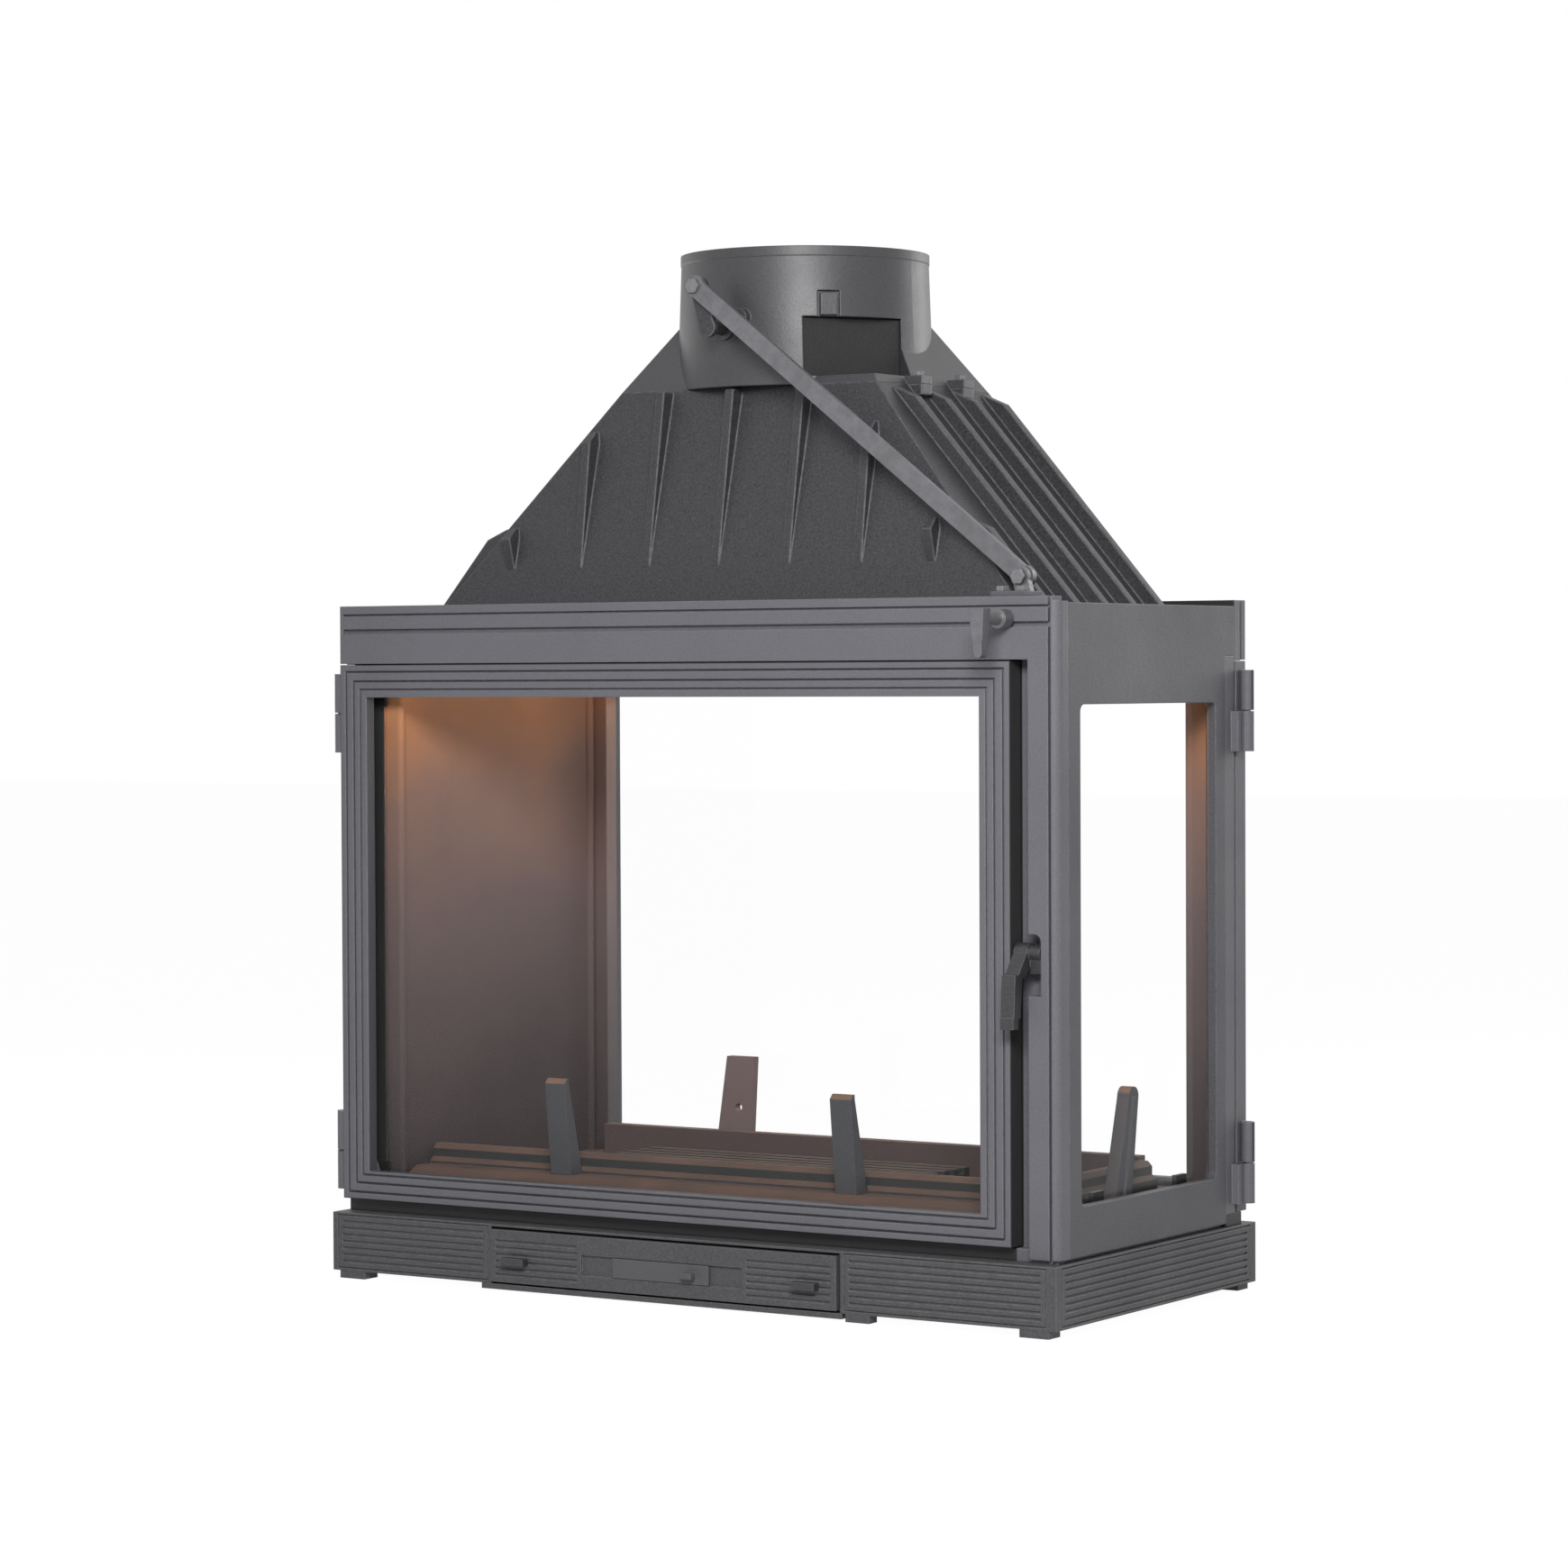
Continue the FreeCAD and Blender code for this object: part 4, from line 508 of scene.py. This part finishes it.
def build_tree(name, inputs):
    """An empty tree of geometry nodes with named inputs, each (label, socket kind, value)."""
    tree = bpy.data.node_groups.new(name, "GeometryNodeTree")
    tree.interface.new_socket("Geometry", in_out="INPUT", socket_type="NodeSocketGeometry")
    for label, kind, value in inputs:
        socket = tree.interface.new_socket(label, in_out="INPUT", socket_type=f"NodeSocket{kind}")
        socket.default_value = value
    finish = tree.interface.new_socket("Finish", in_out="INPUT", socket_type="NodeSocketMaterial")
    finish.default_value = None
    tree.interface.new_socket("Geometry", in_out="OUTPUT", socket_type="NodeSocketGeometry")
    return tree, tree.nodes.new("NodeGroupInput").outputs


def close_tree(tree, given, geometry):
    """End a tree: place the shape, make it real and give it its finish."""
    placed = add(
        tree,
        "GeometryNodeTransform",
        Geometry=geometry,
        Rotation=given["Turn"],
        Translation=given["Middle"],
    )
    real = add(tree, "GeometryNodeRealizeInstances", Geometry=placed.outputs[0])
    finished = add(tree, "GeometryNodeSetMaterial", Geometry=real.outputs[0], Material=given["Finish"])
    output = tree.nodes.new("NodeGroupOutput")
    tree.links.new(finished.outputs[0], output.inputs[0])


def rounded_rectangle(tree, width, height, radius, steps):
    """Closed rectangle with each corner rounded in a number of steps."""
    settings = {"mode": "RECTANGLE"}
    flat = add(tree, "GeometryNodeCurvePrimitiveQuadrilateral", settings, Width=width, Height=height)
    corners = add(tree, "GeometryNodeFilletCurve", {"mode": "POLY"}, Curve=flat.outputs[0], Radius=radius)
    corners.inputs["Count"].default_value = steps
    return corners.outputs[0]


def rounded_ring(tree, given):
    """Closed rectangular path with rounded corners in the flat, cut into even steps."""
    path = rounded_rectangle(tree, given["Width"], given["Height"], given["Corner"], 6)
    even = add(tree, "GeometryNodeResampleCurve", {"mode": "LENGTH"}, Curve=path, Length=given["Step"])
    return add(tree, "GeometryNodeSetCurveNormal", {"mode": "Z_UP"}, Curve=even.outputs[0]).outputs[0]


RING_INPUTS = (
    ("Width", "Float", 0.6),
    ("Height", "Float", 0.4),
    ("Corner", "Float", 0.006),
    ("Step", "Float", 0.002),
    ("Half Width", "Float", 0.004),
    ("Half Thickness", "Float", 0.0015),
    ("Middle", "Vector", (0.0, 0.0, 0.0)),
    ("Turn", "Vector", (0.0, 0.0, 0.0)),
)


def winding(tree, given, copies, reach, lift):
    """How far each strand lies from the path as it winds round it; the strands start evenly spaced."""
    along = add(tree, "GeometryNodeSplineParameter").outputs["Factor"]
    share = maths(tree, "DIVIDE", copies.outputs["Duplicate Index"], given["Strands"])
    turned = maths(tree, "MULTIPLY_ADD", along, given["Turns"], share)
    angle = maths(tree, "MULTIPLY", turned, math.tau)
    tangent = add(tree, "GeometryNodeInputTangent").outputs[0]
    sideways = vector_maths(tree, "CROSS_PRODUCT", tangent, (0.0, 0.0, 1.0))
    swing = maths(tree, "MULTIPLY", maths(tree, "COSINE", angle), reach)
    rise = maths(tree, "MULTIPLY", maths(tree, "SINE", angle), lift)
    across = vector_maths(tree, "SCALE", sideways, scale=swing)
    upwards = vector_maths(tree, "SCALE", (0.0, 0.0, 1.0), scale=rise)
    return vector_maths(tree, "ADD", across, upwards)


def rope_tree():
    """Flat-lying rope: strands that wind round the path, over a thin core."""
    inputs = (*RING_INPUTS, ("Strands", "Int", 6), ("Turns", "Int", 150), ("Strand Radius", "Float", 0.0008))
    tree, given = build_tree("twisted_rope", inputs)
    path = rounded_ring(tree, given)
    copies = add(tree, "GeometryNodeDuplicateElements", {"domain": "SPLINE"}, Geometry=path)
    tree.links.new(given["Strands"], copies.inputs["Amount"])
    reach = maths(tree, "SUBTRACT", given["Half Width"], given["Strand Radius"])
    lift = maths(tree, "SUBTRACT", given["Half Thickness"], given["Strand Radius"])
    offset = winding(tree, given, copies, reach, lift)
    wound = add(tree, "GeometryNodeSetPosition", Geometry=copies.outputs[0], Offset=offset)
    thread = add(tree, "GeometryNodeCurvePrimitiveCircle", Resolution=5, Radius=given["Strand Radius"])
    strands = add(tree, "GeometryNodeCurveToMesh", Curve=wound.outputs[0])
    tree.links.new(thread.outputs[0], strands.inputs["Profile Curve"])
    core = add(tree, "GeometryNodeCurveToMesh", Curve=path)
    tree.links.new(tape_profile(tree, reach, lift), core.inputs["Profile Curve"])
    both = add(tree, "GeometryNodeJoinGeometry")
    for piece in (core, strands):
        tree.links.new(piece.outputs[0], both.inputs[0])
    smooth = add(tree, "GeometryNodeSetShadeSmooth", Geometry=both.outputs[0])
    close_tree(tree, given, smooth.outputs[0])
    return tree


def tape_profile(tree, half_width, half_thickness):
    """Flat section with rounded edges."""
    width = maths(tree, "MULTIPLY", half_width, 2.0)
    thickness = maths(tree, "MULTIPLY", half_thickness, 2.0)
    radius = maths(tree, "MULTIPLY", half_thickness, 0.7)
    return rounded_rectangle(tree, width, thickness, radius, 3)


def tape_tree():
    """Woven tape laid round the edge of a pane."""
    tree, given = build_tree("woven_tape", RING_INPUTS)
    path = rounded_ring(tree, given)
    band = add(tree, "GeometryNodeCurveToMesh", Curve=path)
    profile = tape_profile(tree, given["Half Width"], given["Half Thickness"])
    tree.links.new(profile, band.inputs["Profile Curve"])
    close_tree(tree, given, band.outputs[0])
    return tree


def screw_tree():
    """Slotted screw heads, one on each point of the start mesh, facing along the turned Z axis."""
    inputs = (
        ("Radius", "Float", 0.0022),
        ("Proud", "Float", 0.0003),
        ("Middle", "Vector", (0.0, 0.0, 0.0)),
        ("Turn", "Vector", (0.0, 0.0, 0.0)),
        ("Facing", "Rotation", (0.0, 0.0, 0.0)),
    )
    tree, given = build_tree("slotted_screws", inputs)
    depth = maths(tree, "MULTIPLY", given["Proud"], 2.0)
    disc = add(tree, "GeometryNodeMeshCylinder", Vertices=20, Radius=given["Radius"], Depth=depth)
    long = maths(tree, "MULTIPLY", given["Radius"], 2.4)
    narrow = maths(tree, "MULTIPLY", given["Radius"], 0.3)
    size = add(tree, "ShaderNodeCombineXYZ", X=long, Y=narrow, Z=given["Proud"])
    blade = add(tree, "GeometryNodeMeshCube", Size=size.outputs[0])
    lift = add(tree, "ShaderNodeCombineXYZ", Z=given["Proud"])
    raised = add(tree, "GeometryNodeTransform", Geometry=blade.outputs[0], Translation=lift.outputs[0])
    slotted = add(tree, "GeometryNodeMeshBoolean", {"operation": "DIFFERENCE"})
    tree.links.new(disc.outputs[0], slotted.inputs["Mesh 1"])
    tree.links.new(raised.outputs[0], slotted.inputs["Mesh 2"])
    heads = add(tree, "GeometryNodeInstanceOnPoints", Points=given["Geometry"], Instance=slotted.outputs[0])
    tree.links.new(given["Facing"], heads.inputs["Rotation"])
    close_tree(tree, given, heads.outputs[0])
    return tree


def made_by(tree, name, body, points=(), **values):
    """Run a tree once and keep its result as a plain mesh that rides on one body."""
    start = bpy.data.meshes.new(f"{name}_start")
    start.from_pydata(list(points), [], [])
    carrier = bpy.data.objects.new(f"{name}_carrier", start)
    bpy.context.scene.collection.objects.link(carrier)
    modifier = carrier.modifiers.new("build", "NODES")
    modifier.node_group = tree
    for socket in tree.interface.items_tree:
        label = socket.name.replace(" ", "_").lower()
        if socket.in_out == "INPUT" and label in values:
            modifier[socket.identifier] = values[label]
    graph = bpy.context.evaluated_depsgraph_get()
    mesh = bpy.data.meshes.new_from_object(carrier.evaluated_get(graph))
    bpy.data.objects.remove(carrier)
    piece = bpy.data.objects.new(name, mesh)
    bpy.context.scene.collection.objects.link(piece)
    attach(piece, body)
    return piece


FACADE_TURN = (math.pi / 2, 0.0, 0.0)
SIDE_TURN = (math.pi / 2, 0.0, math.pi / 2)


def ring_sizes(node, plane, band):
    """Sizes of a soft ring that fills the place of a flat CAD ring; band is the ring's width."""
    low, high = (Vector(corner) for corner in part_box(node))
    span = high - low
    width, thickness = (span.x, span.y) if plane == "facade" else (span.y, span.x)
    return {
        "width": width - band,
        "height": span.z - band,
        "half_width": band / 2,
        "half_thickness": thickness / 2,
        "middle": tuple((low + high) / 2),
        "turn": FACADE_TURN if plane == "facade" else SIDE_TURN,
    }


rope = rope_tree()
woven = tape_tree()
screws = screw_tree()

for side in ("front", "rear"):
    body = f"{side}_door"
    groove = ring_sizes(f"{side}_door_seal", "facade", SEAL_BAND)
    seal = made_by(rope, f"{side}_rope_seal", body, finish=yarn, **groove)
    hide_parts(f"{side}_door_seal")
    gasket = ring_sizes(f"{side}_door_gasket", "facade", GASKET_BAND)
    strip = made_by(woven, f"{side}_pane_tape", body, finish=tape, step=TAPE_STEP, **gasket)
    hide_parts(f"{side}_door_gasket")

side_ring = ring_sizes("side_gasket", "side", SIDE_GASKET_BAND)
side_tape = made_by(woven, "side_pane_tape", "body", finish=tape, step=TAPE_STEP, **side_ring)
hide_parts("side_gasket")


def clip_screws(side, inward):
    """A screw in the outer corner of each of the four clips on the back of a door."""
    low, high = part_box(f"{side}_door_clips")
    inset = 0.0042
    y = high[1] if inward > 0 else low[1]
    points = [
        (x, y, z)
        for x in (low[0] + inset, high[0] - inset)
        for z in (low[2] + inset, high[2] - inset)
    ]
    facing = (-inward * math.pi / 2, 0.0, 0.0)
    made_by(screws, f"{side}_clip_screws", f"{side}_door", points, finish=bright, facing=facing)


clip_screws("front", 1)
clip_screws("rear", -1)


# Floor, light and background


def seen_directly(tree):
    """One for rays that show the background itself, also in metal and through glass."""
    rays = add(tree, "ShaderNodeLightPath").outputs
    seen = maths(tree, "MAXIMUM", rays["Is Camera Ray"], rays["Is Glossy Ray"])
    return maths(tree, "MAXIMUM", seen, rays["Is Transmission Ray"])


def studio():
    world = bpy.data.worlds.new("studio")
    bpy.context.scene.world = world
    world.use_nodes = True
    tree = world.node_tree
    tree.nodes.clear()
    sky = add(tree, "ShaderNodeBackground", Color=(1.0, 1.0, 1.0, 1.0))
    tree.links.new(spread(tree, seen_directly(tree), 0.0, 1.0, 0.14, 1.0), sky.inputs["Strength"])
    output = add(tree, "ShaderNodeOutputWorld")
    tree.links.new(sky.outputs[0], output.inputs["Surface"])


def pale_floor():
    material, tree = new_material("pale_floor")
    grain = noise(tree, 40.0, 2.0)
    tone = blend_colour(tree, spread(tree, grain, 0.3, 0.7, 0.0, 0.03), (0.86, 0.86, 0.86, 1.0), grey(0.7))
    matte = add(tree, "ShaderNodeBsdfDiffuse", Color=tone)
    white = add(tree, "ShaderNodeEmission", Color=(1.0, 1.0, 1.0, 1.0), Strength=1.04)
    mix = add(tree, "ShaderNodeMixShader")
    share = spread(tree, seen_directly(tree), 0.0, 1.0, 0.0, 0.94)
    for socket, source in zip(mix.inputs, (share, matte.outputs[0], white.outputs[0])):
        tree.links.new(source, socket)
    surface(tree, mix.outputs[0])
    mesh = bpy.data.meshes.new("floor")
    half = 14.0
    corners = [(-half, -half, 0.0), (half, -half, 0.0), (half, half, 0.0), (-half, half, 0.0)]
    mesh.from_pydata(corners, [], [(0, 1, 2, 3)])
    mesh.materials.append(material)
    floor = bpy.data.objects.new("floor", mesh)
    bpy.context.scene.collection.objects.link(floor)


def softbox(name, place, aim, size, power):
    data = bpy.data.lights.new(name, "AREA")
    data.shape = "RECTANGLE"
    data.size, data.size_y = size
    data.energy = power
    lamp = bpy.data.objects.new(name, data)
    lamp.location = place
    lamp.visible_camera = False
    lamp.rotation_mode = "QUATERNION"
    lamp.rotation_quaternion = (Vector(aim) - Vector(place)).to_track_quat("-Z", "Y")
    bpy.context.scene.collection.objects.link(lamp)


studio()
pale_floor()
softbox("key", (1.16, -1.95, 1.35), (0.0, 0.0, 0.45), (1.0, 0.6), 48.0)
softbox("rim", (0.9, 2.6, 1.2), (0.0, 0.15, 0.45), (0.8, 1.2), 18.0)
softbox("left", (-2.5, 0.6, 0.4), (-0.3, 0.0, 0.30), (0.8, 0.6), 12.0)
softbox("hood_lamp", (0.02, body_middle_y, 0.515), (-0.3, body_middle_y, 0.44), (0.12, 0.10), 0.36)
camera_at_photo()
bpy.context.scene.view_settings.view_transform = "Standard"
